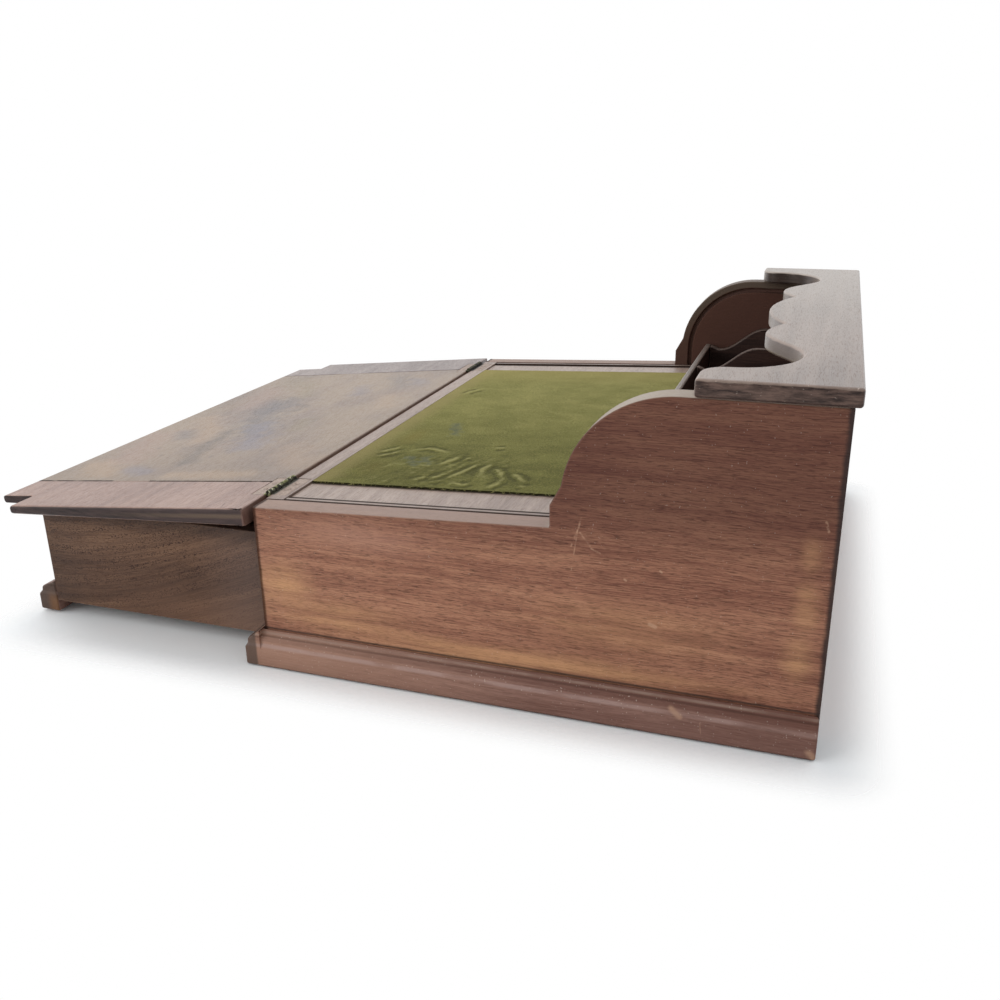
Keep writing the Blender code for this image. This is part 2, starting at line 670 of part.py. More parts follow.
def turned_knob(name, parent):
    """A turned knob: domed head, waist, foot, and a tenon that fills the hole in the drawer front."""
    foot = JOINT_GAP
    profile = []
    for index in range(KNOB_DOME_STEPS + 1):
        angle = math.pi / 2 * index / KNOB_DOME_STEPS
        fall = KNOB_DOME_RISE * (1 - math.cos(angle))
        profile.append((KNOB_RADIUS * math.sin(angle), KNOB_LENGTH - fall))
    profile += [
        (KNOB_RADIUS, KNOB_RIM_HEIGHT), (KNOB_NECK_RADIUS, KNOB_NECK_HEIGHT),
        (KNOB_FOOT_RADIUS, KNOB_FOOT_HEIGHT), (KNOB_FOOT_RADIUS, foot), (KNOB_TENON_RADIUS, foot),
        (KNOB_TENON_RADIUS, -DRAWER_FRONT_THICKNESS), (0.0, -DRAWER_FRONT_THICKNESS)]

    def draw(work):
        points = [work.verts.new((radius, 0.0, height)) for radius, height in profile]
        for first, second in zip(points, points[1:]):
            work.edges.new((first, second))

    knob = add_object(name, mesh_from(name, draw), WALNUT, parent)
    knob.rotation_euler = (math.pi / 2, 0.0, 0.0)
    turning = knob.modifiers.new("Turning", "SCREW")
    turning.steps = KNOB_STEPS
    turning.render_steps = KNOB_STEPS
    turning.use_merge_vertices = True
    turning.merge_threshold = 0.00001
    return knob


def flap_piece(name, outline, rounded, parent):
    """A flap board: an outline in the flap's own plane, thinner towards its front."""
    top = -AXIS_RISE
    piece = plan_between(name, outline, top - FLAP_HINGE_THICKNESS, top, WALNUT_TOP, parent)
    thinning = (FLAP_HINGE_THICKNESS - FLAP_FRONT_THICKNESS) / (FLAP_LENGTH - FLAP_REAR)
    for vertex in piece.data.vertices:
        if vertex.co.z < top - FLAP_HINGE_THICKNESS / 2:
            vertex.co.z += (-vertex.co.y - FLAP_REAR) * thinning
    round_edges(piece, FLAP_ROUNDING, 3, rounded)
    return piece


def make_flap():
    """The flap, in a frame on the hinge axis: it reaches along -Y, with its writing face up."""
    axis = new_empty("flap_hinge", (0.0, AXIS_Y, AXIS_Z), flap_droop())
    panel_half = CLEAT_EDGE - JOINT_GAP

    def level(a, b, y):
        return abs(a.y - y) < 1e-6 and abs(b.y - y) < 1e-6 and abs(a.z - b.z) < 1e-6

    outline = [
        (-panel_half, -FLAP_REAR), (-panel_half, -TONGUE_END),
        (panel_half, -TONGUE_END), (panel_half, -FLAP_REAR)]
    boards = {"panel": flap_piece("flap_panel", outline, lambda a, b: level(a, b, -TONGUE_END), axis)}

    def make_cleat(label, side):
        outline = [
            (CLEAT_EDGE, -FLAP_REAR), (CLEAT_EDGE, -TONGUE_END), (TONGUE_HALF, -TONGUE_END),
            (TONGUE_HALF, -FLAP_LENGTH), (FLAP_HALF_WIDTH, -FLAP_LENGTH), (FLAP_HALF_WIDTH, -FLAP_REAR)]

        def outer_edge(a, b):
            """Long outer edge, the notch and the front end, above and below."""
            if abs(a.z - b.z) > FLAP_HINGE_THICKNESS / 2:
                return False
            along = all(abs(abs(v.x) - FLAP_HALF_WIDTH) < 1e-6 for v in (a, b))
            return along or level(a, b, -TONGUE_END) or level(a, b, -FLAP_LENGTH)

        boards[label] = flap_piece(
            "flap_cleat_" + label, [(side * x, y) for x, y in outline], outer_edge, axis)

    both_sides(make_cleat)
    return axis, boards


def knuckle_section(direction):
    """Barrel of a hinge leaf with the tab that joins it to the plate, as a YZ outline."""
    top = -AXIS_RISE - 2 * LEAF_SINK
    bottom = -AXIS_RISE - LEAF_THICKNESS
    start = math.asin(top / KNUCKLE_RADIUS)
    end = math.asin(bottom / KNUCKLE_RADIUS) + 2 * math.pi
    tab = KNUCKLE_RADIUS * 2
    points = arc((0.0, 0.0), KNUCKLE_RADIUS, start, end, ROUND_SIDES) + [(tab, bottom), (tab, top)]
    return [(direction * y, z) for y, z in points]


def make_leaf(name, centre, direction, first_knuckle, frame):
    """One hinge leaf: its plate, every second knuckle and the bore for the pin."""
    top = -AXIS_RISE - LEAF_SINK
    near = KNUCKLE_RADIUS + HINGE_FIT
    half = HINGE_LENGTH / 2
    y_low, y_high = sorted((direction * near, direction * LEAF_REACH))
    leaf = box(
        name, (centre - half, y_low, top - LEAF_THICKNESS), (centre + half, y_high, top), BRASS, frame)
    width = (HINGE_LENGTH - (KNUCKLE_COUNT - 1) * HINGE_FIT) / KNUCKLE_COUNT
    for index in range(first_knuckle, KNUCKLE_COUNT, 2):
        low = centre - half + index * (width + HINGE_FIT)
        unite(leaf, profile_between(
            f"{name}_knuckle_{index}", knuckle_section(direction), low, low + width, parent=frame))
    bore_radius = PIN_RADIUS + PIN_FIT
    bore = mesh_from(name + "_bore", lambda work: cylinder_along(
        work, (centre - HINGE_LENGTH, 0.0, 0.0), 2 * HINGE_LENGTH, bore_radius, bore_radius, ALONG_X))
    cut(leaf, add_object(name + "_bore", bore, parent=frame))
    return leaf


def make_screw(name, x, y, frame, finish=None):
    """A countersunk screw that fills its hole in a leaf, or the wider cutter for that hole."""
    spread = HINGE_FIT if finish is None else 0.0
    above = LEAF_THICKNESS if finish is None else 0.0
    middle = -AXIS_RISE - 2 * LEAF_SINK - LEAF_THICKNESS / 2

    def draw(work):
        bmesh.ops.create_cone(
            work, cap_ends=True, segments=SCREW_SIDES, radius1=SCREW_HEAD_RADIUS + spread,
            radius2=SCREW_SHANK_RADIUS + spread, depth=LEAF_THICKNESS,
            matrix=Matrix.Translation((x, y, middle)) @ DOWN_Z)
        for cap in [face for face in work.faces if len(face.verts) == SCREW_SIDES]:
            shank = cap.calc_center_median().z < middle
            reach = -SCREW_LENGTH - spread if shank else above
            if reach:
                pulled = bmesh.ops.extrude_discrete_faces(work, faces=[cap])["faces"][0]
                bmesh.ops.translate(work, verts=pulled.verts, vec=(0.0, 0.0, reach))

    return add_object(name, mesh_from(name, draw), finish, frame)


def make_hinges(flap_axis, rail, flap_boards):
    """Two butt hinges let into the rail and the flap, each with its pin and screws."""
    bed = new_empty("hinge_bed", (0.0, AXIS_Y, AXIS_Z), WRITING_SLOPE)
    depth = AXIS_RISE + LEAF_SINK + LEAF_THICKNESS + HINGE_FIT
    wide = HINGE_LENGTH / 2 + HINGE_FIT
    reach = LEAF_REACH + HINGE_FIT

    def let_in(name, centre, direction, first_knuckle, frame, boards, screwed):
        """A leaf in its mortise, with the screws that hold it to one board."""
        leaf = make_leaf(name.format("leaf"), centre, direction, first_knuckle, frame)
        mortise = box(name.format("mortise"), (centre - wide, -reach, -depth),
                      (centre + wide, reach, depth), parent=frame)
        for board in boards:
            cut(board, mortise)
        for number, shift in ((1, -SCREW_SPACING / 2), (2, SCREW_SPACING / 2)):
            screw = name.format("screw") + f"_{number}"
            place = (centre + shift, direction * SCREW_REACH)
            hole = make_screw(screw + "_cutter", *place, frame)
            cut(leaf, hole)
            cut(screwed, hole)
            make_screw(screw, *place, frame, BRASS)

    def make_hinge(label, side):
        centre = side * HINGE_OFFSET
        cleat = flap_boards[label]
        let_in("hinge_case_{}_" + label, centre, 1, 0, bed, [rail], rail)
        let_in("hinge_flap_{}_" + label, centre, -1, 1, flap_axis, [flap_boards["panel"], cleat], cleat)
        pin = mesh_from("hinge_pin_" + label, lambda work: cylinder_along(
            work, (centre - HINGE_LENGTH / 2, 0.0, 0.0), HINGE_LENGTH, PIN_RADIUS, PIN_RADIUS, ALONG_X))
        add_object("hinge_pin_" + label, pin, BRASS, bed)

    both_sides(make_hinge)


def main():
    make_case()
    rail = make_writing_surface()
    make_rack()
    make_shelf()
    make_drawer()
    flap_axis, flap_boards = make_flap()
    make_hinges(flap_axis, rail, flap_boards)


main()
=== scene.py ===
# %% [markdown]
# # A lap desk in worn walnut
# The desk is a small writing box with its drawer pulled out and its flap folded out over the drawer. Its
# solids are already packed and keep their places. This lesson dresses them: boards and knobs get eased
# edges and polished wood, and the cloth, hinges and screws are modelled again as they look on an old, well
# used desk.

# %% Load the solids
import json
import math
import random

import bmesh
import bpy
from mathutils import Euler, Matrix, Vector, noise

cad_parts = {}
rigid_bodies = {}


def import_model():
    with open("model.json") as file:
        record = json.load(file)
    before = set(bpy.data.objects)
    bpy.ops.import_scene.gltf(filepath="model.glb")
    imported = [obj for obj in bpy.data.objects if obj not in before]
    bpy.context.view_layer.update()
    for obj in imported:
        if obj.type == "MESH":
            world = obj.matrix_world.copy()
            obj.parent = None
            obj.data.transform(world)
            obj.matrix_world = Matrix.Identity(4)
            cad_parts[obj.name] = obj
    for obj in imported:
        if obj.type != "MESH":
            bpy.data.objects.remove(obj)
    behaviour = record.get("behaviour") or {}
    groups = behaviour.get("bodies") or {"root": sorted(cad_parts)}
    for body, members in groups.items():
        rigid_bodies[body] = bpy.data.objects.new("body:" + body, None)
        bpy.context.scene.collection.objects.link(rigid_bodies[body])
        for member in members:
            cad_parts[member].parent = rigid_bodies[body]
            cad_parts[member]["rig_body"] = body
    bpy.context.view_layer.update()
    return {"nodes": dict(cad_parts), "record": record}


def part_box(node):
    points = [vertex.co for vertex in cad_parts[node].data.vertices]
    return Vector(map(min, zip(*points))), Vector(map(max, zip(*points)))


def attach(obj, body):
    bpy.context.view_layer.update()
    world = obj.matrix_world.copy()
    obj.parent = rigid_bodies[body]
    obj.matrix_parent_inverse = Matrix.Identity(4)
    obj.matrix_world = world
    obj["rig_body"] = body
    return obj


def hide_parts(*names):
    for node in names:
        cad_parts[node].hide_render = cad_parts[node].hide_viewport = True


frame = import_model()
bpy.context.scene.view_settings.view_transform = "Standard"

# %% [markdown]
# ## The camera
# The photograph was taken from the right of the desk, a little behind it and above it.
# A camera could be aimed with a constraint, but four plain angles say the same and leave
# nothing to update: where it heads, how far it dips, how it rolls and how wide it sees.

# %% Camera
IMAGE_PIXELS = 1000
FOCAL_PIXELS = 976.5
SENSOR_WIDTH = 36.0
CAMERA_PLACE = (0.5201, 0.1152, 0.2341)
CAMERA_DIP = math.radians(69.73)
CAMERA_HEADING = math.radians(108.94)
CAMERA_ROLL = math.radians(-0.80)

aim = Euler((CAMERA_DIP, 0.0, CAMERA_HEADING)).to_matrix() @ Matrix.Rotation(CAMERA_ROLL, 3, "Z")
bpy.ops.object.camera_add(location=CAMERA_PLACE, rotation=aim.to_euler())
camera = bpy.context.object
camera.data.sensor_width = SENSOR_WIDTH
camera.data.lens = FOCAL_PIXELS / IMAGE_PIXELS * SENSOR_WIDTH
bpy.context.scene.camera = camera
print("camera lens", round(camera.data.lens, 2), "mm")

# %% [markdown]
# ## Short names for shader nodes
# A finish is a tree of nodes, and a tree written out link by link is hard to read. A Level
# is what one node hands to the next. Giving it Python's own signs lets a finish be written
# as arithmetic, and each sign still makes one node. Colours are written as they are read
# off a screen, and turned into the linear numbers that Blender mixes.

# %% Colours and levels
def srgb(red, green, blue):
    """A colour as it is read off a screen, 0 to 255, as the linear numbers that Blender uses."""
    shares = [channel / 255.0 for channel in (red, green, blue)]
    linear = [s / 12.92 if s <= 0.04045 else ((s + 0.055) / 1.055) ** 2.4 for s in shares]
    return (*linear, 1.0)


class Level:
    """What one node hands to the next, fit for sums: a + b, a - b, a * b and abs(a)."""

    def __init__(self, finish, socket):
        self.finish = finish
        self.socket = socket

    def __add__(self, other):
        return self.finish.number("ADD", self, other)

    def __sub__(self, other):
        return self.finish.number("SUBTRACT", self, other)

    def __rsub__(self, other):
        return self.finish.number("SUBTRACT", other, self)

    def __mul__(self, other):
        return self.finish.number("MULTIPLY", self, other)

    def __abs__(self):
        return self.finish.number("ABSOLUTE", self)


print("middle grey is", [round(share, 3) for share in srgb(128, 128, 128)])

# %% [markdown]
# ## A material being mixed
# A material needs a colour, a roughness and a height, which grow as stains are laid over
# each other. Node groups could hold the steps, but a small class with a short name for each
# kind of node is easier to follow. Every pattern starts from Object coordinates, which on
# these pieces are metres.

# %% A material being mixed
class Finish:
    """One material, its colour, roughness and height so far, and short names for its nodes."""

    def __init__(self, name):
        self.material = bpy.data.materials.new(name)
        self.material.use_nodes = True
        self.tree = self.material.node_tree
        self.shader = self.tree.nodes["Principled BSDF"]
        self.place = self.add("ShaderNodeTexCoord", out="Object")
        self.facing = self.add("ShaderNodeTexCoord", out="Normal")
        self.x, self.y, self.z = self.parts(self.place)
        self.facing_x, self.facing_y, self.facing_z = self.parts(self.facing)
        self.colour = None
        self.roughness = None
        self.height = None

    def add(self, kind, feeds=None, out=0, **settings):
        """Adds a node, sets its options, feeds its sockets, and gives what one output hands on."""
        made = self.tree.nodes.new(kind)
        for setting, value in settings.items():
            setattr(made, setting, value)
        for socket, value in (feeds or {}).items():
            if isinstance(value, Level):
                self.tree.links.new(value.socket, made.inputs[socket])
            else:
                made.inputs[socket].default_value = value
        return Level(self, made.outputs[out])

    def number(self, operation, first, second=0.0):
        """One step of arithmetic with numbers."""
        return self.add("ShaderNodeMath", {0: first, 1: second}, operation=operation)

    def vector(self, operation, first, second=(0.0, 0.0, 0.0), out=0):
        """One step of arithmetic with vectors."""
        return self.add("ShaderNodeVectorMath", {0: first, 1: second}, out, operation=operation)

    def parts(self, vector):
        """The three numbers of a vector."""
        return [self.add("ShaderNodeSeparateXYZ", {0: vector}, axis) for axis in range(3)]

    def most(self, first, second):
        return self.number("MAXIMUM", first, second)

    def shift(self, place, by):
        return self.vector("ADD", place, by)

    def stretch(self, place, by):
        """A place multiplied by one number, or by one for each axis."""
        return self.vector("MULTIPLY", place, by if isinstance(by, tuple) else (by, by, by))

    def reach(self, vector):
        """How long a vector is."""
        return self.vector("LENGTH", vector, out="Value")

    def away_from(self, point):
        """The vector from a point to each place on the surface."""
        return self.vector("SUBTRACT", self.place, tuple(point))

    def clouds(self, lumps, detail=2.0, roughness=0.5, place=None):
        """Soft noise from 0 to 1, with so many lumps to the metre, alike or for each axis."""
        start = self.stretch(place or self.place, lumps)
        feeds = {"Vector": start, "Scale": 1.0, "Detail": detail, "Roughness": roughness}
        return self.add("ShaderNodeTexNoise", feeds)

    def band(self, value, low, high, at_low=0.0, at_high=1.0):
        """A smooth step from one level to another as a value rises from low to high."""
        feeds = {"Value": value, "From Min": low, "From Max": high, "To Min": at_low, "To Max": at_high}
        return self.add("ShaderNodeMapRange", feeds, interpolation_type="SMOOTHSTEP")

    def ramp(self, value, stops):
        """A colour ramp through (place, colour) stops."""
        made = self.add("ShaderNodeValToRGB", {0: value})
        steps = made.socket.node.color_ramp.elements
        while len(steps) < len(stops):
            steps.new(0.5)
        for step, (place, colour) in zip(steps, stops):
            step.position = place
            step.color = colour
        return made

    def stain(self, share, colour):
        """Lays a colour over what is there, by a share from 0 to 1."""
        feeds = {0: share, 6: self.colour, 7: colour}
        self.colour = self.add("ShaderNodeMix", feeds, 2, data_type="RGBA")

    def mark(self, name):
        """A number that the mesh carries on its points or faces."""
        return self.add("ShaderNodeAttribute", out="Fac", attribute_name=name)

    def feed(self, socket, value):
        self.tree.links.new(value.socket, self.shader.inputs[socket])

    def close(self, bump=0.4, depth=0.0002):
        """Joins the colour, the roughness and the height to the shader."""
        relief = self.add("ShaderNodeBump", {"Strength": bump, "Distance": depth, "Height": self.height})
        self.feed("Base Color", self.colour)
        self.feed("Roughness", self.roughness)
        self.feed("Normal", relief)
        return self.material


print("a finish has", len([name for name in dir(Finish) if "__" not in name]), "short names")

# %% [markdown]
# ## The floor
# The desk stands on a pale sheet in a bright white room. A backdrop could be bent up behind
# it, but here the sheet fades to clear a little way from the desk's foot, and the camera
# sees the white world behind. The shadow next to the desk stays.

# %% Floor
FLOOR_RADIUS = 1.5
FLOOR_DROP = 0.0004
FOOT_HALF = (0.170, 0.1975)
FOOT_MIDDLE = -0.0675
FADE_START, FADE_END = 0.0, 0.030

bpy.ops.object.select_all(action="DESELECT")
bpy.ops.mesh.primitive_circle_add(vertices=96, radius=FLOOR_RADIUS, fill_type="NGON")
floor = bpy.context.object
floor.name = "floor"
floor.location.z = -FLOOR_DROP

paper = Finish("floor_paper")
seen = paper.add("ShaderNodeLightPath", out="Is Camera Ray")
wide = paper.most(abs(paper.x) - FOOT_HALF[0], 0.0)
deep = paper.most(abs(paper.y - FOOT_MIDDLE) - FOOT_HALF[1], 0.0)
away = paper.reach(paper.add("ShaderNodeCombineXYZ", {0: wide, 1: deep}))
fade = paper.band(away, FADE_START, FADE_END) * seen
solid = Level(paper, paper.shader.outputs[0])
clear = paper.add("ShaderNodeBsdfTransparent")
faded = paper.add("ShaderNodeMixShader", {0: fade, 1: solid, 2: clear})
paper.tree.links.new(faded.socket, paper.tree.nodes["Material Output"].inputs["Surface"])
creases = paper.clouds((9.0, 6.0, 6.0), 4.0)
paper.colour = paper.ramp(creases, [(0.3, srgb(246, 250, 252)), (0.7, srgb(253, 254, 254))])
paper.shader.inputs["Roughness"].default_value = 0.9
paper.shader.inputs["Specular IOR Level"].default_value = 0.1
paper.feed("Base Color", paper.colour)
floor.data.materials.append(paper.material)
print("floor", 2 * FLOOR_RADIUS, "m across")

# %% [markdown]
# ## The light
# A room lights a desk from all round, and less from the side away from its windows. A
# picture of a room could do that, but a plain world that dims towards the camera's side
# needs none. One wide lamp above and one weaker lamp low in front add soft shadows.

# %% Light
BRIGHT_SIDE, DIM_SIDE = 1.0, 0.5


def lamp(name, place, towards, size, watts):
    """A square soft lamp that faces a point."""
    turn = (Vector(towards) - Vector(place)).to_track_quat("-Z", "Y").to_euler()
    bpy.ops.object.light_add(type="AREA", location=place, rotation=turn)
    made = bpy.context.object
    made.name = name
    made.data.size = size
    made.data.energy = watts


room = bpy.data.worlds.new("white_room")
bpy.context.scene.world = room
room.use_nodes = True
makers = room.node_tree.nodes
wires = room.node_tree.links
lit = makers["Background"]
lit.inputs["Color"].default_value = (0.97, 0.985, 1.0, 1.0)
shown = makers.new("ShaderNodeBackground")
shown.inputs["Color"].default_value = (1.0, 1.0, 1.0, 1.0)
heading = makers.new("ShaderNodeSeparateXYZ")
wires.new(makers.new("ShaderNodeTexCoord").outputs["Generated"], heading.inputs[0])
dimming = makers.new("ShaderNodeMapRange")
for socket, value in {"From Min": -0.5, "From Max": 0.9, "To Min": BRIGHT_SIDE, "To Max": DIM_SIDE}.items():
    dimming.inputs[socket].default_value = value
wires.new(heading.outputs[0], dimming.inputs["Value"])
wires.new(dimming.outputs[0], lit.inputs["Strength"])
choice = makers.new("ShaderNodeMixShader")
wires.new(makers.new("ShaderNodeLightPath").outputs["Is Camera Ray"], choice.inputs[0])
wires.new(lit.outputs[0], choice.inputs[1])
wires.new(shown.outputs[0], choice.inputs[2])
wires.new(choice.outputs[0], makers["World Output"].inputs["Surface"])

lamp("window_above", (-0.4, -0.8, 1.6), (0.0, -0.05, 0.06), 1.4, 10.0)
lamp("low_front", (1.0, -1.2, 0.5), (0.1, -0.1, 0.04), 1.0, 9.0)
print("two soft lamps and a white room")

# %% [markdown]
# ## Tones of walnut
# Old walnut has many colours: red where its polish lasted and grey where hands and light wore it. Upward
# faces are also painted grey here, for the white room they mirror, and hidden inner faces are painted
# nearly black with shade. One colour with noise would look printed, so each set of tones runs from the dark
# of the grain through the middle to the light.

# %% Tones of walnut
RED_TONES = (srgb(104, 60, 46), srgb(141, 94, 73), srgb(170, 121, 94))
PLINTH_TONES = (srgb(112, 79, 69), srgb(136, 102, 91), srgb(154, 120, 107))
TOP_TONES = (srgb(92, 75, 68), srgb(118, 99, 90), srgb(138, 117, 106))
CLEAT_TONES = (srgb(112, 86, 77), srgb(144, 114, 102), srgb(166, 136, 122))
DARK_SHADED_TONES = (srgb(36, 24, 21), srgb(54, 37, 32), srgb(74, 53, 45))
DRAWER_TONES = (srgb(60, 40, 29), srgb(90, 64, 48), srgb(116, 86, 65))
PORE = srgb(42, 22, 16)
RUBBED = srgb(178, 148, 130)
SPECK = srgb(214, 198, 184)
# This dark colour is laid both for grime and for painted shade in corners and gaps.
GRIME_AND_SHADE = srgb(38, 26, 22)
END_TONES = (srgb(34, 24, 22), srgb(78, 57, 50))
print("walnut in six sets of tones")

# %% [markdown]
# ## Walnut
# Walnut shows long streaks of lighter and darker wood, fine fibres, and short dark pores,
# all drawn out along the grain. A picture of wood could be laid on, but a pattern made from
# noise in the solid wood runs over the edges and into the end grain as real grain does.
# Each board gets its own grain direction and its own place in the noise, so that no two
# boards that meet look cut from one piece. End grain drinks more polish and turns dark.

# %% Walnut finish
ALONG = {"X": (1.0, 0.0, 0.0), "Y": (0.0, 1.0, 0.0)}
GRAIN_TURN = {"X": (0.0, 0.0, 0.0), "Y": (0.0, 0.0, math.radians(-90.0))}
SEED_STEPS = (0.37, 0.19, 0.53)


def sweep(wood, start, amount):
    """Coordinates whose level lines climb in a curve as Y passes a start."""
    run = wood.most(wood.y - start, 0.0)
    climb = run * run * -amount
    return wood.add("ShaderNodeCombineXYZ", {0: wood.x, 1: wood.y, 2: wood.z + climb})


def walnut(name, along, seed, tones, gloss=0.42, shine=0.4, streaks=0.4, fibre=0.14, pores=0.5, dots=0.0,
           edge=RUBBED, worn=0.35, ends=0.85, end_tones=END_TONES, swept=None):
    """Polished walnut with its grain along one axis. The caller may stain it before close()."""
    wood = Finish(name)
    start = wood.place if swept is None else sweep(wood, *swept)
    own_place = tuple(step * seed for step in SEED_STEPS)
    laid = {"Vector": start, "Rotation": GRAIN_TURN[along], "Location": own_place}
    turned = wood.add("ShaderNodeMapping", laid)
    slow = {"Vector": wood.stretch(turned, (9.0, 26.0, 26.0)), "Scale": 1.0, "Detail": 2.0}
    drift = wood.shift(wood.add("ShaderNodeTexNoise", slow, out="Color"), (-0.5, -0.5, -0.5))
    grain = wood.shift(turned, wood.stretch(drift, (0.0, 0.007, 0.007)))
    wood.figure = wood.clouds((7.0, 190.0, 190.0), 4.0, 0.55, place=grain)
    wood.fibres = wood.clouds((60.0, 2300.0, 2300.0), 2.0, place=grain)
    wood.clouding = wood.clouds((9.0, 15.0, 15.0), 3.0, place=turned)
    tone = wood.band(wood.figure, 0.3, 0.7, 0.5 - streaks / 2, 0.5 + streaks / 2)
    tone = tone + wood.band(wood.fibres, 0.3, 0.7, -fibre, fibre)
    tone = tone + wood.band(wood.clouding, 0.3, 0.7, -0.14, 0.14)
    wood.colour = wood.ramp(tone, [(0.15, tones[0]), (0.5, tones[1]), (0.85, tones[2])])
    long_pores = wood.band(wood.clouds((190.0, 2400.0, 2400.0), 1.0, place=grain), 0.56, 0.65)
    short_pores = wood.band(wood.clouds((420.0, 3400.0, 3400.0), 1.0, place=grain), 0.57, 0.66)
    wood.pores = long_pores * 0.6 + short_pores * 0.4
    wood.stain(wood.pores * pores, PORE)
    if dots:
        rows = wood.band(wood.clouds((14.0, 420.0, 420.0), 1.0, place=grain), 0.38, 0.60, 0.3, 1.0)
        dotted = wood.band(wood.clouds((1100.0, 2100.0, 2100.0), 0.0, place=grain), 0.57, 0.65)
        wood.stain(rows * dotted * dots, PORE)
    across = wood.vector("DOT_PRODUCT", wood.facing, ALONG[along], "Value")
    end = wood.band(abs(across), 0.5, 0.9)
    rings = wood.clouds((60.0, 90.0, 900.0), 3.0, 0.6, place=turned)
    wood.stain(end * ends, wood.ramp(rings, [(0.35, end_tones[0]), (0.65, end_tones[1])]))
    wood.spots = wood.clouds(150.0, 3.0)
    edges = wood.mark("worn")
    wood.stain(edges * wood.band(wood.spots, 0.35, 0.65, 0.3, 1.0) * worn, edge)
    dust = wood.band(wood.clouds(700.0, 1.0), 0.70, 0.76)
    wood.stain(edges * dust * 0.5, SPECK)
    wood.roughness = wood.fibres * 0.12 + wood.pores * 0.25 + (gloss - 0.06)
    wood.height = wood.fibres * 0.35 - wood.pores
    wood.shine = wood.band(end, 0.0, 1.0, shine, 0.15)
    wood.feed("Specular IOR Level", wood.shine)
    return wood


print("walnut with its grain along", " or ".join(GRAIN_TURN))

# %% [markdown]
# ## Copies of the solids
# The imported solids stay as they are, and every look is made on a copy. A copy comes as loose
# triangles, which can't be bevelled cleanly. So its doubles are merged and its flat faces
# joined again first.

# %% Copies of the solids
MERGE_DISTANCE = 0.000002
FLAT_ANGLE = math.radians(0.4)


def pick(piece):
    """Leaves one object selected and active, for the operators to work on."""
    bpy.ops.object.select_all(action="DESELECT")
    piece.select_set(True)
    bpy.context.view_layer.objects.active = piece


def copy_of(node, name):
    """A separate copy of a solid, with whole flat faces in place of loose triangles."""
    piece = bpy.data.objects.new(name, frame["nodes"][node].data.copy())
    bpy.context.scene.collection.objects.link(piece)
    piece.data.materials.clear()
    pick(piece)
    bpy.ops.object.mode_set(mode="EDIT")
    bpy.ops.mesh.select_all(action="SELECT")
    bpy.ops.mesh.remove_doubles(threshold=MERGE_DISTANCE)
    bpy.ops.mesh.dissolve_limited(angle_limit=FLAT_ANGLE)
    bpy.ops.object.mode_set(mode="OBJECT")
    return piece


print(len(frame["nodes"]), "solids to copy from")

# %% [markdown]
# ## Easing the boards
# A saw leaves a knife-sharp edge, and a maker takes it off with a few strokes of sandpaper.
# Light catches on that narrow rounding, so every board needs it. A modifier could round all
# edges alike, but here each sharp edge is asked whether it is long enough and in the right
# place. The new faces are marked, so that the finish can wear there.

# %% Easing the boards
ARRIS_ANGLE = math.radians(40.0)
SMOOTH_ANGLE = math.radians(38.0)


def ease(piece, width, segments=3, shortest=0.0, where=None):
    """Rounds sharp edges that are long enough and in the right place, and marks them as worn."""
    for _ in range(2):
        piece.data.materials.append(None)
    pick(piece)
    bpy.ops.object.mode_set(mode="EDIT")
    bpy.ops.mesh.select_mode(type="EDGE")
    bpy.ops.mesh.select_all(action="DESELECT")
    shape = bmesh.from_edit_mesh(piece.data)
    for edge in shape.edges:
        sharp = len(edge.link_faces) == 2 and edge.calc_face_angle() > ARRIS_ANGLE
        there = where is None or where(edge.verts[0].co, edge.verts[1].co)
        edge.select_set(sharp and there and edge.calc_length() > shortest)
    bmesh.update_edit_mesh(piece.data)
    bpy.ops.mesh.bevel(offset=width, segments=segments, affect="EDGES", material=1)
    bpy.ops.object.mode_set(mode="OBJECT")
    worn = piece.data.attributes.get("worn") or piece.data.attributes.new("worn", "FLOAT", "FACE")
    for face in piece.data.polygons:
        if face.material_index == 1:
            worn.data[face.index].value = 1.0
        face.material_index = 0
    piece.data.materials.clear()


def settle(piece):
    """Smooth shading over the roundings, with flat faces kept flat."""
    pick(piece)
    bpy.ops.object.shade_smooth_by_angle(angle=SMOOTH_ANGLE)
    bpy.ops.object.modifier_add(type="WEIGHTED_NORMAL")
    piece.modifiers[-1].keep_sharp = True
    bpy.ops.object.modifier_apply(modifier=piece.modifiers[-1].name)


print("edges count as sharp from", round(math.degrees(ARRIS_ANGLE)), "degrees")

# %% [markdown]
# ## Handing a piece over
# A finished piece gets its own material and takes the body of the solid it stands for. It then moves with
# that solid's joint, and the plain solid is hidden.


def hand_over(piece, material, node):
    """Gives a finished piece its material, and the body of the solid it stands for."""
    piece.data.materials.append(material)
    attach(piece, frame["nodes"][node]["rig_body"])
    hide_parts(node)


def board(node, wood, width=0.0004, segments=3, shortest=0.0, where=None):
    """A solid's copy with eased edges, dressed and handed over."""
    piece = copy_of(node, node + "_board")
    ease(piece, width, segments, shortest, where)
    settle(piece)
    hand_over(piece, wood.close(), node)
    return piece


# %% [markdown]
# ## Marks on the wood
# Faded places, scratches and lines of dirt tell the desk's age, and some of the dark lines are painted
# shade. They could be painted by hand, but as distances from named places they stay sharp at any zoom and
# need no picture.

# %% Patches, scratches and stripes
def patch(wood, centre, radii, soft=0.7):
    """1 at a place on the wood, fading to 0 over an oval with a ragged rim."""
    away = wood.stretch(wood.away_from(centre), tuple(1.0 / radius for radius in radii))
    ragged = (wood.fibres + (wood.clouding + wood.spots)) * 0.35
    return wood.band(wood.reach(away) + ragged, 1.52, 1.52 - soft)


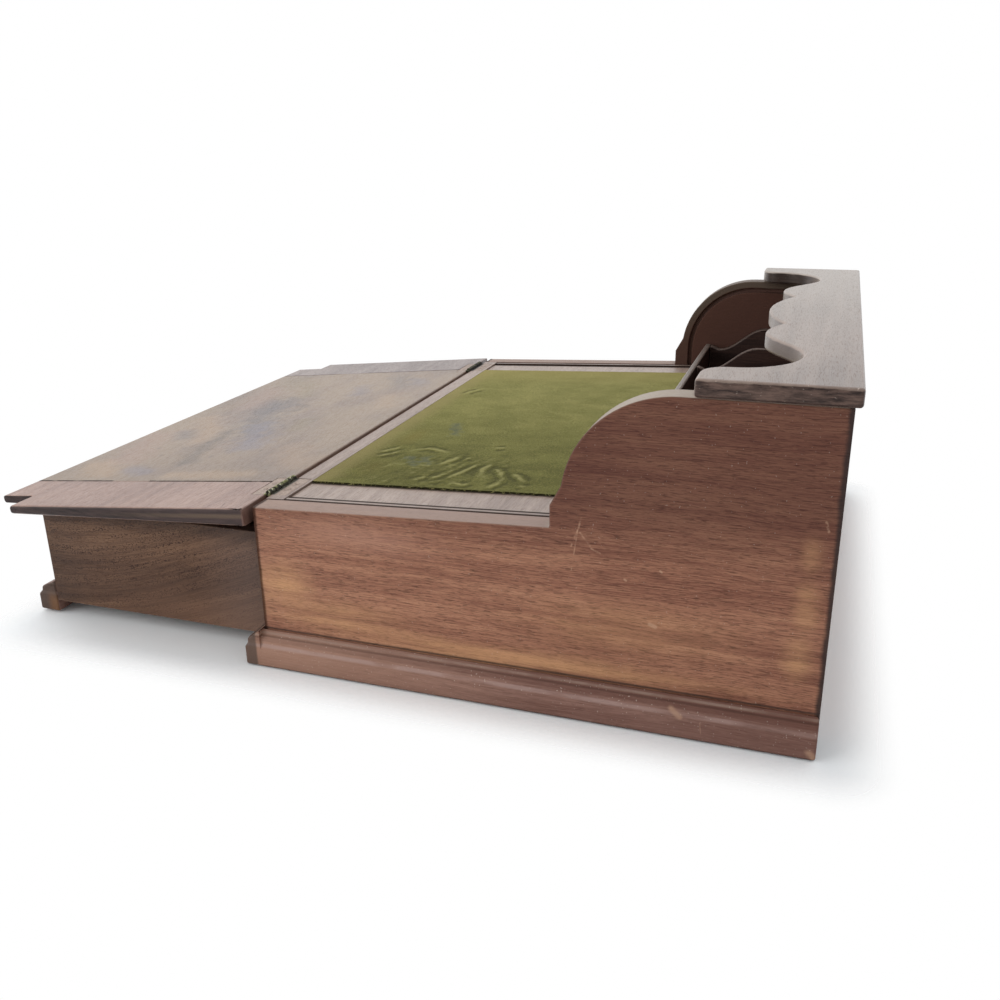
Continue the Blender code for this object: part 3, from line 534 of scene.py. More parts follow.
def from_line(wood, start, end):
    """How far a place on the wood is from the line between two points."""
    run = Vector(end) - Vector(start)
    away = wood.away_from(start)
    along = wood.vector("DOT_PRODUCT", away, run / run.length_squared, "Value")
    share = wood.add("ShaderNodeClamp", {0: along})
    nearest = wood.add("ShaderNodeVectorMath", {0: run, "Scale": share}, operation="SCALE")
    return wood.vector("DISTANCE", away, nearest, "Value")


def scratch(wood, start, end, width):
    """1 on a thin broken line between two places on the wood, and 0 elsewhere."""
    broken = wood.band(wood.clouds(500.0, 2.0), 0.35, 0.62)
    return wood.band(from_line(wood, start, end), width, width * 0.2) * broken


def dirt_and_shade(wood, share):
    """Lays a dark colour by a share from 0 to 1, for grime and for painted shade, and takes the polish away
    there.
    """
    wood.stain(share, GRIME_AND_SHADE)
    wood.shine = wood.shine * wood.band(share, 0.0, 1.0, 1.0, 0.0)
    wood.feed("Specular IOR Level", wood.shine)


def stripe(level, at, half):
    """1 where a level is at a value, and 0 from half a stripe's width away."""
    return level.finish.band(abs(level - at), half, half * 0.25)


print("marks ready: patches, lines, scratches, dirt and stripes")

# %% [markdown]
# ## Marks on the sides
# The side nearest the camera fills a third of the picture. Its polish is a warm red-brown that has faded to
# orange low at the front, along the plinth and near the back edge, and it is darker high up under the arch.
# A few pale scratches and nicks catch the eye. Lists of (Y, Z) places keep them easy to move. The left
# side, which is guessed, has fewer marks.

# %% Marks on the sides
ANY_DEPTH = 0.5
FADED = srgb(199, 150, 106)
ROSE = srgb(184, 138, 117)
UPPER_DARK = srgb(66, 29, 21)
SCRATCHED = srgb(190, 152, 124)
FADED_PLACES = [
    ((-0.113, 0.044), (0.026, 0.017), 0.9),
    ((-0.085, 0.030), (0.060, 0.013), 0.7),
    ((0.000, 0.0225), (0.130, 0.0085), 0.75),
    ((0.1165, 0.064), (0.0080, 0.015), 0.65),
    ((0.1150, 0.042), (0.0095, 0.014), 0.6),
    ((0.1165, 0.086), (0.0060, 0.012), 0.3),
    ((0.045, 0.044), (0.070, 0.018), 0.35),
]
SCRATCHES = [
    ((0.0276, 0.0912), (0.0266, 0.0872), 0.0006),
    ((0.0266, 0.0872), (0.0236, 0.0786), 0.0005),
    ((0.0272, 0.0850), (0.0315, 0.0796), 0.0006),
    ((0.0320, 0.0786), (0.0356, 0.0770), 0.0006),
    ((0.0262, 0.0860), (0.0238, 0.0680), 0.0004),
    ((0.1205, 0.1000), (0.1216, 0.0965), 0.0008),
]
NICKS = [
    ((0.0570, 0.0482), (0.0592, 0.0474), 0.0013),
    ((0.0602, 0.0724), (0.0608, 0.0719), 0.0007),
    ((0.0460, 0.0668), (0.0466, 0.0664), 0.0007),
]


def fade_side(wood, x):
    """Darker wood high up under the arch, and the faded places on the face at x."""
    height = wood.z + wood.clouding * 0.03
    # Darker towards the top, under the arch.
    wood.stain(wood.band(height, 0.080, 0.122) * 0.66, UPPER_DARK)
    broken = wood.band(wood.figure, 0.3, 0.6, 0.35, 1.0)
    for (y, z), (long, high), strength in FADED_PLACES:
        place = patch(wood, (x, y, z), (ANY_DEPTH, long, high), 1.1)
        wood.stain(place * broken * strength, FADED)
    wood.stain(patch(wood, (x, -0.075, 0.071), (ANY_DEPTH, 0.060, 0.013), 1.1) * 0.45, ROSE)


def scratch_side(wood, x):
    """Every scratch and nick on the right side, and only the last of each on the left."""
    for start, end, width in SCRATCHES if x > 0 else SCRATCHES[-1:]:
        wood.stain(scratch(wood, (x, *start), (x, *end), width) * 0.4, SCRATCHED)
    for start, end, width in NICKS if x > 0 else NICKS[-1:]:
        away = from_line(wood, (x, *start), (x, *end))
        wood.stain(wood.band(away, width, width * 0.3) * 0.5, SCRATCHED)


print(len(FADED_PLACES), "faded places,", len(SCRATCHES), "scratches,", len(NICKS), "nicks")

# %% [markdown]
# ## The two sides
# Hands have rubbed the edges a little paler, and dust lies in the pores. Upward faces are painted grey for
# the white room they mirror. The top over the arch is painted lit on the near side and shaded on the far
# one. The dark line along the plinth and the one at the front are partly dirt and partly painted shade, and
# the dark band at the back is painted shade on the back edge. The inner faces are painted nearly black with
# shade, apart from a painted paler rim between the arch and the groove that follows it.

# %% Sides
SIDE_EASING = 0.0007
side_low, side_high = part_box("side_right")
INNER_FACE = side_low.x
GROOVE_FLOOR = INNER_FACE + 0.003
ARCH_CENTRE = (0.0, 0.0645, 0.0978)
ARCH_RADIUS = 0.046
# The inner faces are painted this dark, for the shade inside the case.
INNER_SHADE = srgb(88, 62, 54)
SHEEN_GREY = srgb(156, 137, 126)
SHADED_TOP = srgb(96, 84, 74)
LIT_TOP = srgb(162, 150, 136)


def shade_inside(wood):
    """Painted shade on the inner face and in the groove of a side, and a painted paler rim along its arch,
    stronger higher up.
    """
    inner = wood.band(abs(wood.x), INNER_FACE + 0.0010, INNER_FACE + 0.0004)
    hollow = wood.band(abs(wood.x), GROOVE_FLOOR + 0.0006, GROOVE_FLOOR + 0.0002)
    from_arch = wood.reach(wood.stretch(wood.away_from(ARCH_CENTRE), (0.0, 1.0, 1.0)))
    hollow = hollow * wood.band(from_arch, ARCH_RADIUS - 0.0004, ARCH_RADIUS - 0.0010)
    wood.stain(wood.most(inner, hollow) * 0.85, INNER_SHADE)
    rim = inner * wood.band(from_arch, ARCH_RADIUS - 0.0042, ARCH_RADIUS - 0.0034)
    wood.stain(rim * wood.band(wood.z, 0.096, 0.130, 0.15, 0.9), SHADED_TOP)


def side_finish(name, seed, x, painted_arch_top):
    """The polish of the side whose outer face is at x, with its wear, its grime, and painted sheen and
    shade.
    """
    wood = walnut(name, "Y", seed, RED_TONES, gloss=0.45, shine=0.24, streaks=0.28, fibre=0.17, pores=0.62,
                  worn=0.2)
    fade_side(wood, x)
    wood.stain(wood.pores * 0.15, PORE)
    dust = wood.band(wood.clouds(1300.0, 0.0), 0.81, 0.85)
    wood.stain(dust * 0.16, SPECK)
    scratch_side(wood, x)
    # Upward faces are painted grey, a painted reflection of the white room. The top over the arch is
    # painted lit on the near side and shaded on the far side.
    level = wood.band(wood.facing_z, 0.5, 0.95)
    wood.stain(level * 0.7, SHEEN_GREY)
    over_arch = wood.band(wood.y, 0.010, 0.018)
    wood.stain(level * over_arch * 0.85, painted_arch_top)
    # The dark line at the plinth's joint is partly dirt and partly painted shade in the corner.
    wood.stain(stripe(wood.z, 0.0188, 0.0008) * 0.75, GRIME_AND_SHADE)
    # The front edge is painted dark, partly dirt and partly painted shade of the gap by the drawer.
    forward = wood.y + wood.spots * 0.0010
    dirt_and_shade(wood, wood.band(forward, -0.1226, -0.1240) * 0.8)
    # The dark band at the back is painted shade on the rounded back edge.
    back = wood.y + wood.spots * 0.0022
    beside = wood.band(abs(wood.facing_y), 0.95, 0.7, 0.2, 0.9)
    wood.stain(wood.band(back, 0.1242, 0.1262) * beside, srgb(40, 27, 25))
    # This darkens the whole inner face: the dark joint line beside the strip, and painted shade inside the
    # case.
    dirt_and_shade(wood, wood.band(abs(wood.x), INNER_FACE + 0.0010, INNER_FACE + 0.0005) * 0.8)
    shade_inside(wood)
    return wood


board("side_right", side_finish("side_right_polish", 1.0, side_high.x, LIT_TOP), SIDE_EASING)
board("side_left", side_finish("side_left_polish", 2.3, -side_high.x, SHADED_TOP), SIDE_EASING)
print("two sides, eased by", SIDE_EASING * 1000, "mm")

# %% [markdown]
# ## The plinth
# A moulding runs round the foot of the case, cut by the drawer's own strip in front. Its shoulder is rubbed
# pale and carries a painted highlight, its inner corners and its foot are painted dark with grime and
# shade, and a few chips show bare wood. It is painted lighter at the front, where the light falls, and
# darker at the back. Stripes at set heights follow the moulding all the way round, which painting each face
# would not. Each return is drawn back to the case, so that no gap shows at the joint.

# %% Plinth
PLINTH_EASING = 0.0011
PLINTH_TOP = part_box("plinth_right")[1].z
SHOULDER = 0.60 * PLINTH_TOP
QUIRK = 0.63 * PLINTH_TOP
PAINTED_PLINTH_LIGHT = srgb(178, 138, 114)
PLINTH_DARK = srgb(96, 62, 52)
CASE_FRONT = side_low.y
CHIPS = [
    ((0.169, 0.0680, 0.0130), (0.170, 0.0716, 0.0102), 0.0021),
    ((0.167, 0.0500, 0.0182), (0.167, 0.0590, 0.0180), 0.0010),
    ((0.170, 0.0800, 0.0090), (0.170, 0.0806, 0.0040), 0.0005),
    ((0.170, 0.1235, 0.0035), (0.170, 0.1250, 0.0015), 0.0030),
]


def off_the_joint(start, end):
    """Whether an edge of the plinth is clear of the joint at the case's front."""
    return max(abs(start.y - CASE_FRONT), abs(end.y - CASE_FRONT)) > 0.001


def plinth_finish(name, along, seed, front_lit_gradient=True):
    """Polish with grime and painted shade in the moulding's corners and foot, a rubbed shoulder with a
    painted highlight, and, when asked, painted light at the front and shade at the back.
    """
    wood = walnut(name, along, seed, PLINTH_TONES, gloss=0.45, shine=0.18, streaks=0.25, pores=0.3,
                  worn=0.0, ends=0.0)
    if front_lit_gradient:
        # Painted light and shade: lighter towards the front, where the light falls, and darker towards the
        # back.
        wood.stain(wood.band(wood.y, 0.04, -0.13, 0.0, 0.5), PAINTED_PLINTH_LIGHT)
        wood.stain(wood.band(wood.y, -0.02, 0.126, 0.0, 0.4), PLINTH_DARK)
    wood.stain(wood.band(wood.z, QUIRK - 0.004, 0.0) * 0.2, PLINTH_DARK)
    upper = wood.band(wood.z, QUIRK + 0.0010, QUIRK + 0.0024)
    wood.stain(upper * wood.band(wood.y, -0.13, 0.06, 0.3, 0.6), PLINTH_DARK)
    patchy = wood.band(wood.clouds((60.0, 40.0, 60.0), 3.0), 0.35, 0.6, 0.3, 1.0)
    # Pale stripes at the shoulder and under the top joint: partly rubbed wood, partly a painted highlight
    # where the moulding faces up.
    wood.stain(stripe(wood.z, SHOULDER, 0.0014) * patchy * 0.55, srgb(176, 150, 142))
    wood.stain(stripe(wood.z, PLINTH_TOP - 0.0017, 0.0007) * patchy * 0.5, srgb(160, 138, 124))
    # Dark lines in the moulding's inner corners and along its foot: partly grime, partly painted shade.
    dirt_and_shade(wood, stripe(wood.z, PLINTH_TOP - 0.0029, 0.0006) * 0.35)
    dirt_and_shade(wood, stripe(wood.z, PLINTH_TOP, 0.0008) * 0.85)
    dirt_and_shade(wood, stripe(wood.z, 0.0, 0.0012) * 0.6)
    for start, end, width in CHIPS:
        near = from_line(wood, start, end) + wood.spots * width
        wood.stain(wood.band(near, width * 1.4, width * 0.6) * 0.5, SCRATCHED)
    dust = wood.band(wood.clouds(1300.0, 0.0), 0.78, 0.83)
    wood.stain(dust * 0.35, SPECK)
    return wood


for seed, node in enumerate(("plinth_right", "plinth_left"), start=3):
    board(node, plinth_finish(node + "_polish", "Y", seed + 0.2), PLINTH_EASING, 3, 0.0, off_the_joint)
for seed, node in enumerate(("plinth_return_right", "plinth_return_left"), start=5):
    wood = plinth_finish(node + "_polish", "X", seed + 0.4)
    # The front of each return is painted dark, for the shade it stands in.
    ahead = wood.y + wood.spots * 0.0010
    wood.stain(wood.band(ahead, -0.1268, -0.1282) * 0.75, srgb(72, 62, 56))
    piece = board(node, wood, PLINTH_EASING, 3, 0.0, off_the_joint)
    for point in piece.data.vertices:
        if point.co.y > CASE_FRONT - 0.0005:
            point.co.y = CASE_FRONT
print("plinth in four pieces,", round(PLINTH_TOP * 1000, 1), "mm high")

# %% [markdown]
# ## The back and the boards inside
# The back board is plain and polished like the sides. The boards inside the case are hardly
# seen, so one dull brown does for all of them, each with its own place in the grain.

# %% Back and boards inside
INSIDE_BOARDS = (
    "bottom_board", "dust_board", "bearer_right", "bearer_left",
    "runner_right", "runner_left", "drawer_stop_right", "drawer_stop_left",
)

board("back_board", walnut("back_polish", "X", 7.1, RED_TONES, gloss=0.5, streaks=0.7), 0.0005)
for seed, node in enumerate(INSIDE_BOARDS, start=40):
    board(node, walnut(node + "_wood", "Y", seed / 3.0, DRAWER_TONES, gloss=0.6, worn=0.2), 0.0003, 2)
print("a back and", len(INSIDE_BOARDS), "boards inside")

# %% [markdown]
# ## The writing slope
# Behind the flap comes a rail, then the board under the cloth, with a thin strip at each side that shows as
# a double dark line. All lie in one plane. Their upper faces are seen at a low angle and mirror the white
# room, so their polish looks grey, and their tones are painted greyer too, in part for that reflection.
# Dirt fills the joints that the cloth doesn't cover. A dark stripe along the cloth's edge is painted
# shadow, and the rail's face by the flap is painted darker for the shade in that gap.

# %% Rail, writing board and strips
CLOTH_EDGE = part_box("writing_cloth")[1].x
RAIL_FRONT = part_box("front_rail")[0].y
# These tones are greyer than the wood, partly a painted reflection of the white room.
SLOPE_TONES_WITH_SHEEN = (srgb(122, 102, 92), srgb(150, 130, 118), srgb(172, 152, 140))
STRIP_LINES = ((0.1499, 0.1495), (0.1511, 0.1515))


def at_rail_front(start, end):
    """Whether an edge of the rail is one beside the flap."""
    return max(start.y, end.y) < RAIL_FRONT + 0.001


rail = walnut("rail_polish", "X", 9.2, SLOPE_TONES_WITH_SHEEN, gloss=0.34, shine=0.5, streaks=0.25, pores=0.2,
              worn=0.0)
# The rail's face by the flap is painted darker, for the shade in the narrow gap.
in_front = rail.band(rail.y, RAIL_FRONT + 0.0012, RAIL_FRONT + 0.0002)
rail.stain(in_front * 0.8, srgb(118, 84, 72))
board("front_rail", rail, 0.0004, 3, 0.004, at_rail_front)

slope = walnut("slope_polish", "X", 10.5, SLOPE_TONES_WITH_SHEEN, gloss=0.34, shine=0.7, streaks=0.25, pores=0.25,
               worn=0.0)
dirt_and_shade(slope, slope.band(abs(slope.x), 0.1456, 0.1462) * 0.9)
# A dark stripe beside the cloth's edge is painted shadow of that edge.
beside = slope.band(abs(slope.x), CLOTH_EDGE + 0.0022, CLOTH_EDGE + 0.0006)
beside = beside * slope.band(slope.y, 0.010, -0.040, 0.25, 1.0)
slope.stain(beside * 0.75, srgb(58, 48, 34))
board("writing_board", slope, 0.0002, 2)

for seed, node in enumerate(("bead_right", "bead_left"), start=11):
    wood = walnut(node + "_polish", "Y", seed + 0.3, SLOPE_TONES_WITH_SHEEN, gloss=0.34, shine=0.6, streaks=0.2,
                  pores=0.2, worn=0.0)
    inner_line, outer_line = (wood.band(abs(wood.x), *edges) for edges in STRIP_LINES)
    dirt_and_shade(wood, wood.most(inner_line, outer_line) * 0.9)
    board(node, wood, 0.0004, 3)
print("rail, slope and strips")

# %% [markdown]
# ## The rack
# Four thin boards with a curved top edge and one straight front board make the rack for paper. Their tones
# are painted dark, for the shade under the shelf, and their upper edges are paler, partly rubbed by hands
# and partly a painted highlight where they face up to the light. That paleness could be painted, but a
# stain by height and by how a face lies follows every curve.

# %% Rack
RACK_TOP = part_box("rack_front_board")[1].z
CURVED_BOARDS = ("rack_divider_right", "rack_divider_left", "rack_end_right", "rack_end_left")

# The rack's tones are painted dark, for the shade under the shelf.
rack = walnut("rack_front_polish", "X", 13.4, DARK_SHADED_TONES, gloss=0.4, worn=0.2)
# The top edge is paler: rubbing and a painted highlight.
rubbed = rack.band(rack.z, RACK_TOP - 0.0014, RACK_TOP - 0.0006)
nearer = rack.band(rack.x, -0.15, 0.06, 0.25, 0.7)
rack.stain(rubbed * nearer, srgb(168, 156, 146))
board("rack_front_board", rack, 0.0006)
for seed, node in enumerate(CURVED_BOARDS, start=14):
    wood = walnut(node + "_polish", "Y", seed + 0.5, DARK_SHADED_TONES, gloss=0.5, shine=0.2, worn=0.5,
                  edge=srgb(120, 102, 94))
    # Faces that look up get a painted highlight.
    wood.stain(wood.band(wood.facing_z, 0.35, 0.8) * 0.5, srgb(116, 100, 92))
    board(node, wood, 0.0007)
print("a rack of", 1 + len(CURVED_BOARDS), "boards")

# %% [markdown]
# ## The shelf's shape
# The shelf is a board with a scalloped front and softly rounded rims. Its solid has small
# roundings of its own, and bevelling those again would pinch. So only its flat upper face
# is kept, drawn out to the full outline, extruded down and rounded afresh.

# %% Shelf shape
SHELF_ROUNDING = 0.0013
shelf_low, shelf_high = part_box("top_shelf")


def round_the_shelf(start, end):
    """Whether an edge is on the shelf's upper or lower rim, or at one of its four corners."""
    on_rim = abs(start.z - end.z) < 0.0005
    return on_rim or min(abs(start.x), abs(end.x)) > shelf_high.x - 0.0005


shelf_piece = copy_of("top_shelf", "top_shelf_board")
bpy.ops.object.mode_set(mode="EDIT")
bpy.ops.mesh.select_mode(type="FACE")
shape = bmesh.from_edit_mesh(shelf_piece.data)
upper = max(shape.faces, key=lambda face: face.calc_area() * face.normal.z)
for face in shape.faces:
    face.select_set(face is not upper)
bmesh.update_edit_mesh(shelf_piece.data)
bpy.ops.mesh.delete(type="FACE")
shape = bmesh.from_edit_mesh(shelf_piece.data)
for point in shape.verts:
    if abs(point.co.x) > shelf_high.x - 0.002:
        point.co.x = math.copysign(shelf_high.x, point.co.x)
        point.co.y = shelf_low.y if point.co.y < shelf_low.y + 0.002 else point.co.y
    if point.co.y > shelf_high.y - 0.002:
        point.co.y = shelf_high.y
bmesh.update_edit_mesh(shelf_piece.data)
bpy.ops.mesh.select_all(action="SELECT")
bpy.ops.mesh.remove_doubles(threshold=0.00005)
bpy.ops.mesh.extrude_region_move(TRANSFORM_OT_translate={"value": (0.0, 0.0, shelf_low.z - shelf_high.z)})
bpy.ops.mesh.select_all(action="SELECT")
bpy.ops.mesh.normals_make_consistent(inside=False)
bpy.ops.object.mode_set(mode="OBJECT")
ease(shelf_piece, SHELF_ROUNDING, 4, 0.0, round_the_shelf)
settle(shelf_piece)
print("shelf", len(shelf_piece.data.polygons), "faces")

# %% [markdown]
# ## The shelf's finish
# The shelf's top mirrors the white room and looks silvery, most of all far away, and that is also painted
# in as a paler colour towards the far end. Its cut ends and the insides of its scallops are dark, layered
# and dusty, the scallops and the lower rim of the ends are also painted darker for shade, and its back edge
# is stained back to brown over the painted reflection. How a face lies tells the finish which is which.

# %% Shelf finish
SHELF_TONES = (srgb(106, 90, 82), srgb(132, 115, 105), srgb(152, 134, 123))

shelf = walnut("shelf_polish", "X", 18.8, SHELF_TONES, gloss=0.3, shine=0.7, streaks=0.25, fibre=0.05,
               pores=0.03, worn=0.12, ends=0.0)
# The far end is painted paler, for the reflection of the white room.
shelf.stain(shelf.band(shelf.x, 0.12, -0.16, 0.0, 0.6), srgb(170, 160, 150))
depth = shelf_high.z - shelf.z
upright = shelf.band(shelf.facing_z, 0.25, 0.75, 1.0, 0.0)
# The back edge is stained back to brown over that painted reflection.
behind = shelf.band(shelf.facing_y, 0.4, 0.8) * upright
shelf.stain(behind * 0.7, srgb(110, 80, 67))
below_rim = shelf.band(depth + shelf.spots * 0.0014, 0.0013, 0.0019)
endwise = shelf.band(abs(shelf.facing_x), 0.4, 0.85) * upright * below_rim
# The insides of the scallops are painted darker, for shade.
scallop = upright * below_rim * shelf.band(shelf.facing_x, 0.0, 0.6, 0.0, 0.75)
shelf.stain(scallop, srgb(82, 70, 68))
layers = shelf.clouds((160.0, 120.0, 700.0), 4.0, 0.65)
shelf.stain(endwise * 0.92, shelf.ramp(layers, [(0.35, srgb(42, 31, 28)), (0.65, srgb(104, 83, 74))]))
farther = shelf.band(shelf.x, -0.10, -0.13)
shelf.stain(endwise * farther * 0.7, srgb(50, 42, 38))
specks = shelf.band(shelf.clouds((900.0, 700.0, 1500.0), 1.0), 0.72, 0.78)
shelf.stain(endwise * specks * 0.2, SPECK)
# The lower rim of the cut ends is painted darker, for the shade under the shelf.
dirt_and_shade(shelf, endwise * shelf.band(depth, 0.0060, 0.0070, 0.0, 0.7))
hand_over(shelf_piece, shelf.close(0.1, 0.0001), "top_shelf")
print("shelf polished")

# %% [markdown]
# ## The drawer
# The drawer's side is plainer and darker than the case, with its grain climbing in curves
# towards the case. The curves could be painted, but bending the coordinates of the noise
# sweeps every fibre alike. The front carries two small turned knobs, which the flap hides
# in the photograph.

# %% Drawer boards
for seed, node in enumerate(("drawer_side_right", "drawer_side_left"), start=20):
    wood = walnut(node + "_wood", "Y", seed / 4.0, DRAWER_TONES, gloss=0.55, shine=0.2, streaks=0.4,
                  fibre=0.12, pores=0.35, dots=0.85, worn=0.1, swept=(-0.262, 1.9))
    low = wood.band(wood.z, 0.036, 0.010)
    wood.stain(low * wood.band(wood.y, -0.25, -0.16) * 0.3, srgb(146, 110, 88))
    wood.stain(wood.band(wood.y, -0.175, -0.135, 0.0, 0.3), srgb(128, 108, 100))
    # The top of the drawer side is painted darker, for the flap's shadow.
    wood.stain(wood.band(wood.z, 0.050, 0.061, 0.0, 0.55), GRIME_AND_SHADE)
    wood.stain(wood.band(wood.y, -0.228, -0.262, 0.0, 0.35), GRIME_AND_SHADE)
    board(node, wood, 0.0005)
board("drawer_front", walnut("drawer_front_polish", "X", 6.9, RED_TONES, gloss=0.42), 0.0005)
board("drawer_back", walnut("drawer_back_wood", "X", 7.6, DRAWER_TONES, gloss=0.55), 0.0005)
board("drawer_bottom", walnut("drawer_bottom_wood", "X", 8.2, DRAWER_TONES, gloss=0.6), 0.0003, 2)
moulding = plinth_finish("drawer_moulding_polish", "X", 5.7, front_lit_gradient=False)
cut_end = moulding.band(abs(moulding.facing_x), 0.4, 0.8)
moulding.stain(cut_end * 0.85, srgb(66, 54, 46))
rusty = moulding.band(moulding.y, -0.268, -0.263) * moulding.band(moulding.z, 0.014, 0.006)
moulding.stain(cut_end * rusty * 0.5, srgb(132, 90, 52))
board("drawer_moulding", moulding, PLINTH_EASING)
for seed, node in enumerate(("drawer_knob_right", "drawer_knob_left"), start=26):
    board(node, walnut(node + "_polish", "Y", seed / 5.0, RED_TONES, gloss=0.32), 0.0003, 2)
print("drawer in eight pieces")

# %% [markdown]
# ## Stains on the flap
# Years of arms and damp have left the flap yellowed, with purple-grey clouds where the
# polish has bloomed. A cloud could be a round patch, but these were wiped along, so each is
# a bent line with a width, a strength and a colour, in metres on the desk.

# %% Stains on the flap
HINGE_AXIS = Vector(next(
    joint["pos_m"] for joint in frame["record"]["behaviour"]["joints"] if joint["name"] == "flap_hinge"))
FLAP_SLOPE = math.tan(math.radians(5.481))
BURNT = srgb(82, 69, 61)
GREY = srgb(92, 85, 87)
LAVENDER = srgb(113, 105, 114)
OLIVE = srgb(130, 113, 84)
ORANGE = srgb(160, 131, 102)
ROSY = srgb(150, 119, 105)
SMEARS = [
    ([(-0.034, -0.232), (0.005, -0.221), (0.040, -0.207)], 0.021, 0.75, GREY),
    ([(0.020, -0.212), (0.045, -0.200), (0.066, -0.190)], 0.014, 0.65, LAVENDER),
    ([(0.000, -0.262), (0.030, -0.240), (0.050, -0.232)], 0.012, 0.5, ORANGE),
    ([(0.040, -0.272), (0.065, -0.264), (0.090, -0.255)], 0.016, 0.5, ROSY),
    ([(0.098, -0.270), (0.114, -0.250)], 0.012, 0.5, ORANGE),
    ([(0.118, -0.205), (0.117, -0.160)], 0.007, 0.45, ORANGE),
    ([(0.070, -0.160), (0.085, -0.152), (0.100, -0.138)], 0.013, 0.4, ORANGE),
    ([(0.035, -0.224), (0.060, -0.220), (0.080, -0.217), (0.095, -0.212)], 0.008, 0.6, BURNT),
    ([(0.108, -0.236), (0.113, -0.225)], 0.008, 0.55, LAVENDER),
    ([(0.034, -0.257), (0.046, -0.247)], 0.008, 0.45, GREY),
    ([(0.008, -0.186), (0.030, -0.181)], 0.008, 0.5, OLIVE),
    ([(-0.095, -0.240), (-0.078, -0.234), (-0.055, -0.222)], 0.007, 0.5, OLIVE),
    ([(-0.112, -0.262), (-0.088, -0.248)], 0.014, 0.4, OLIVE),
    ([(-0.100, -0.158), (-0.086, -0.151)], 0.010, 0.55, LAVENDER),
    ([(-0.108, -0.175), (-0.090, -0.166), (-0.075, -0.160)], 0.013, 0.5, GREY),
    ([(-0.082, -0.192), (-0.060, -0.183)], 0.011, 0.5, LAVENDER),
    ([(-0.048, -0.158), (-0.026, -0.148)], 0.013, 0.45, ORANGE),
    ([(-0.078, -0.264), (-0.030, -0.250)], 0.014, 0.4, ROSY),
    ([(-0.030, -0.209), (-0.017, -0.206)], 0.006, 0.5, BURNT),
]
FLAP_SPECKS = [
    (0.0671, -0.2499), (0.0815, -0.2376), (0.0677, -0.232), (0.0556, -0.224), (0.0842, -0.2023),
    (0.0727, -0.1995), (0.0733, -0.177),
]


def on_flap(x, y):
    """A place on the flap's upper face."""
    return (x, y, HINGE_AXIS.z + (y - HINGE_AXIS.y) * FLAP_SLOPE)


def smear(wood, points, width):
    """1 along a bent line on the flap, fading to 0 over a cloudy rim."""
    ragged = (wood.clouding + wood.spots - 1.0) * (1.6 * width)
    found = None
    for start, end in zip(points, points[1:]):
        near = from_line(wood, on_flap(*start), on_flap(*end)) + ragged
        share = wood.band(near, 1.3 * width, 0.0)
        found = share if found is None else wood.most(found, share)
    return found


print(len(SMEARS), "smears and", len(FLAP_SPECKS), "specks on the flap")

# %% [markdown]
# ## The flap's panel
# The flap is a panel between two cleats, all with their grain from side to side. The edge towards the case
# is rounded over, so that the flap can turn on its hinges, and it is painted darker there for the shade of
# the narrow gap by the rail. Dirt darkens the joints. The clouds belong to the face that was written on,
# and hardly show on the other.

# %% Flap panel
REAR_ROUNDING = 0.0008
YELLOWED = srgb(152, 130, 106)
flap_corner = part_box("flap_panel")[1]


def at_rear(start, end):
    """Whether an edge of the flap is its upper one beside the case."""
    behind = min(start.y, end.y) > flap_corner.y - 0.0012
    return behind and min(start.z, end.z) > flap_corner.z - 0.0012


def flap_board(node, wood):
    """A flap board, rounded over at the case and eased elsewhere, with painted shade on its rear edge and
    grime in its joints.
    """
    # The rear edge is painted darker, for the shade of the gap by the rail.
    rear = wood.band(wood.y + wood.spots * 0.0012, flap_corner.y - 0.0010, flap_corner.y + 0.0004)
    wood.stain(rear * 0.8, srgb(104, 74, 64))
    joint = stripe(wood.x, flap_corner.x if "left" not in node else -flap_corner.x, 0.0014)
    closed = wood.most(wood.band(wood.y, -0.2326, -0.2340), wood.band(wood.y, -0.2111, -0.2097))
    broken = wood.band(wood.clouds((90.0, 120.0, 90.0), 3.0), 0.30, 0.50, 0.35, 1.0)
    dirt_and_shade(wood, joint * broken * closed * 0.9)
    piece = copy_of(node, node + "_board")
    ease(piece, REAR_ROUNDING, 4, 0.004, at_rear)
    ease(piece, 0.0003, 2, 0.004)
    settle(piece)
    hand_over(piece, wood.close(), node)


panel = walnut("flap_panel_polish", "X", 3.4, TOP_TONES, gloss=0.34, shine=0.6, streaks=0.3, fibre=0.08,
               pores=0.12, worn=0.0)
yellow = panel.band(panel.clouds((12.0, 22.0, 22.0), 4.0), 0.35, 0.6, 0.2, 0.7)
panel.stain(yellow, YELLOWED)
panel.stain(panel.band(panel.x, 0.02, 0.128, 0.0, 0.3), srgb(108, 88, 74))
written_on = panel.band(panel.facing_z, 0.0, 0.6, 0.2, 1.0)
for points, width, strength, colour in SMEARS:
    bloom = smear(panel, points, width) * written_on
    panel.stain(bloom * strength, colour)
for x, y in FLAP_SPECKS:
    away = from_line(panel, on_flap(x, y), on_flap(x + 0.002, y))
    panel.stain(panel.band(away, 0.0014, 0.0003) * 0.6, BURNT)
flap_board("flap_panel", panel)
print("flap panel", round(2 * flap_corner.x * 1000, 1), "mm wide")

# %% [markdown]
# ## The flap's cleats
# A cleat is glued across each end of the panel. The near one is rosy and cracked at its hinge, and the far
# one is painted greyer for the white room it mirrors. The end grain is nearly black, with a painted
# highlight along it where a rounded edge would catch the light. That rounding is thin trim, so the
# highlight is a stain by depth below the upper face.

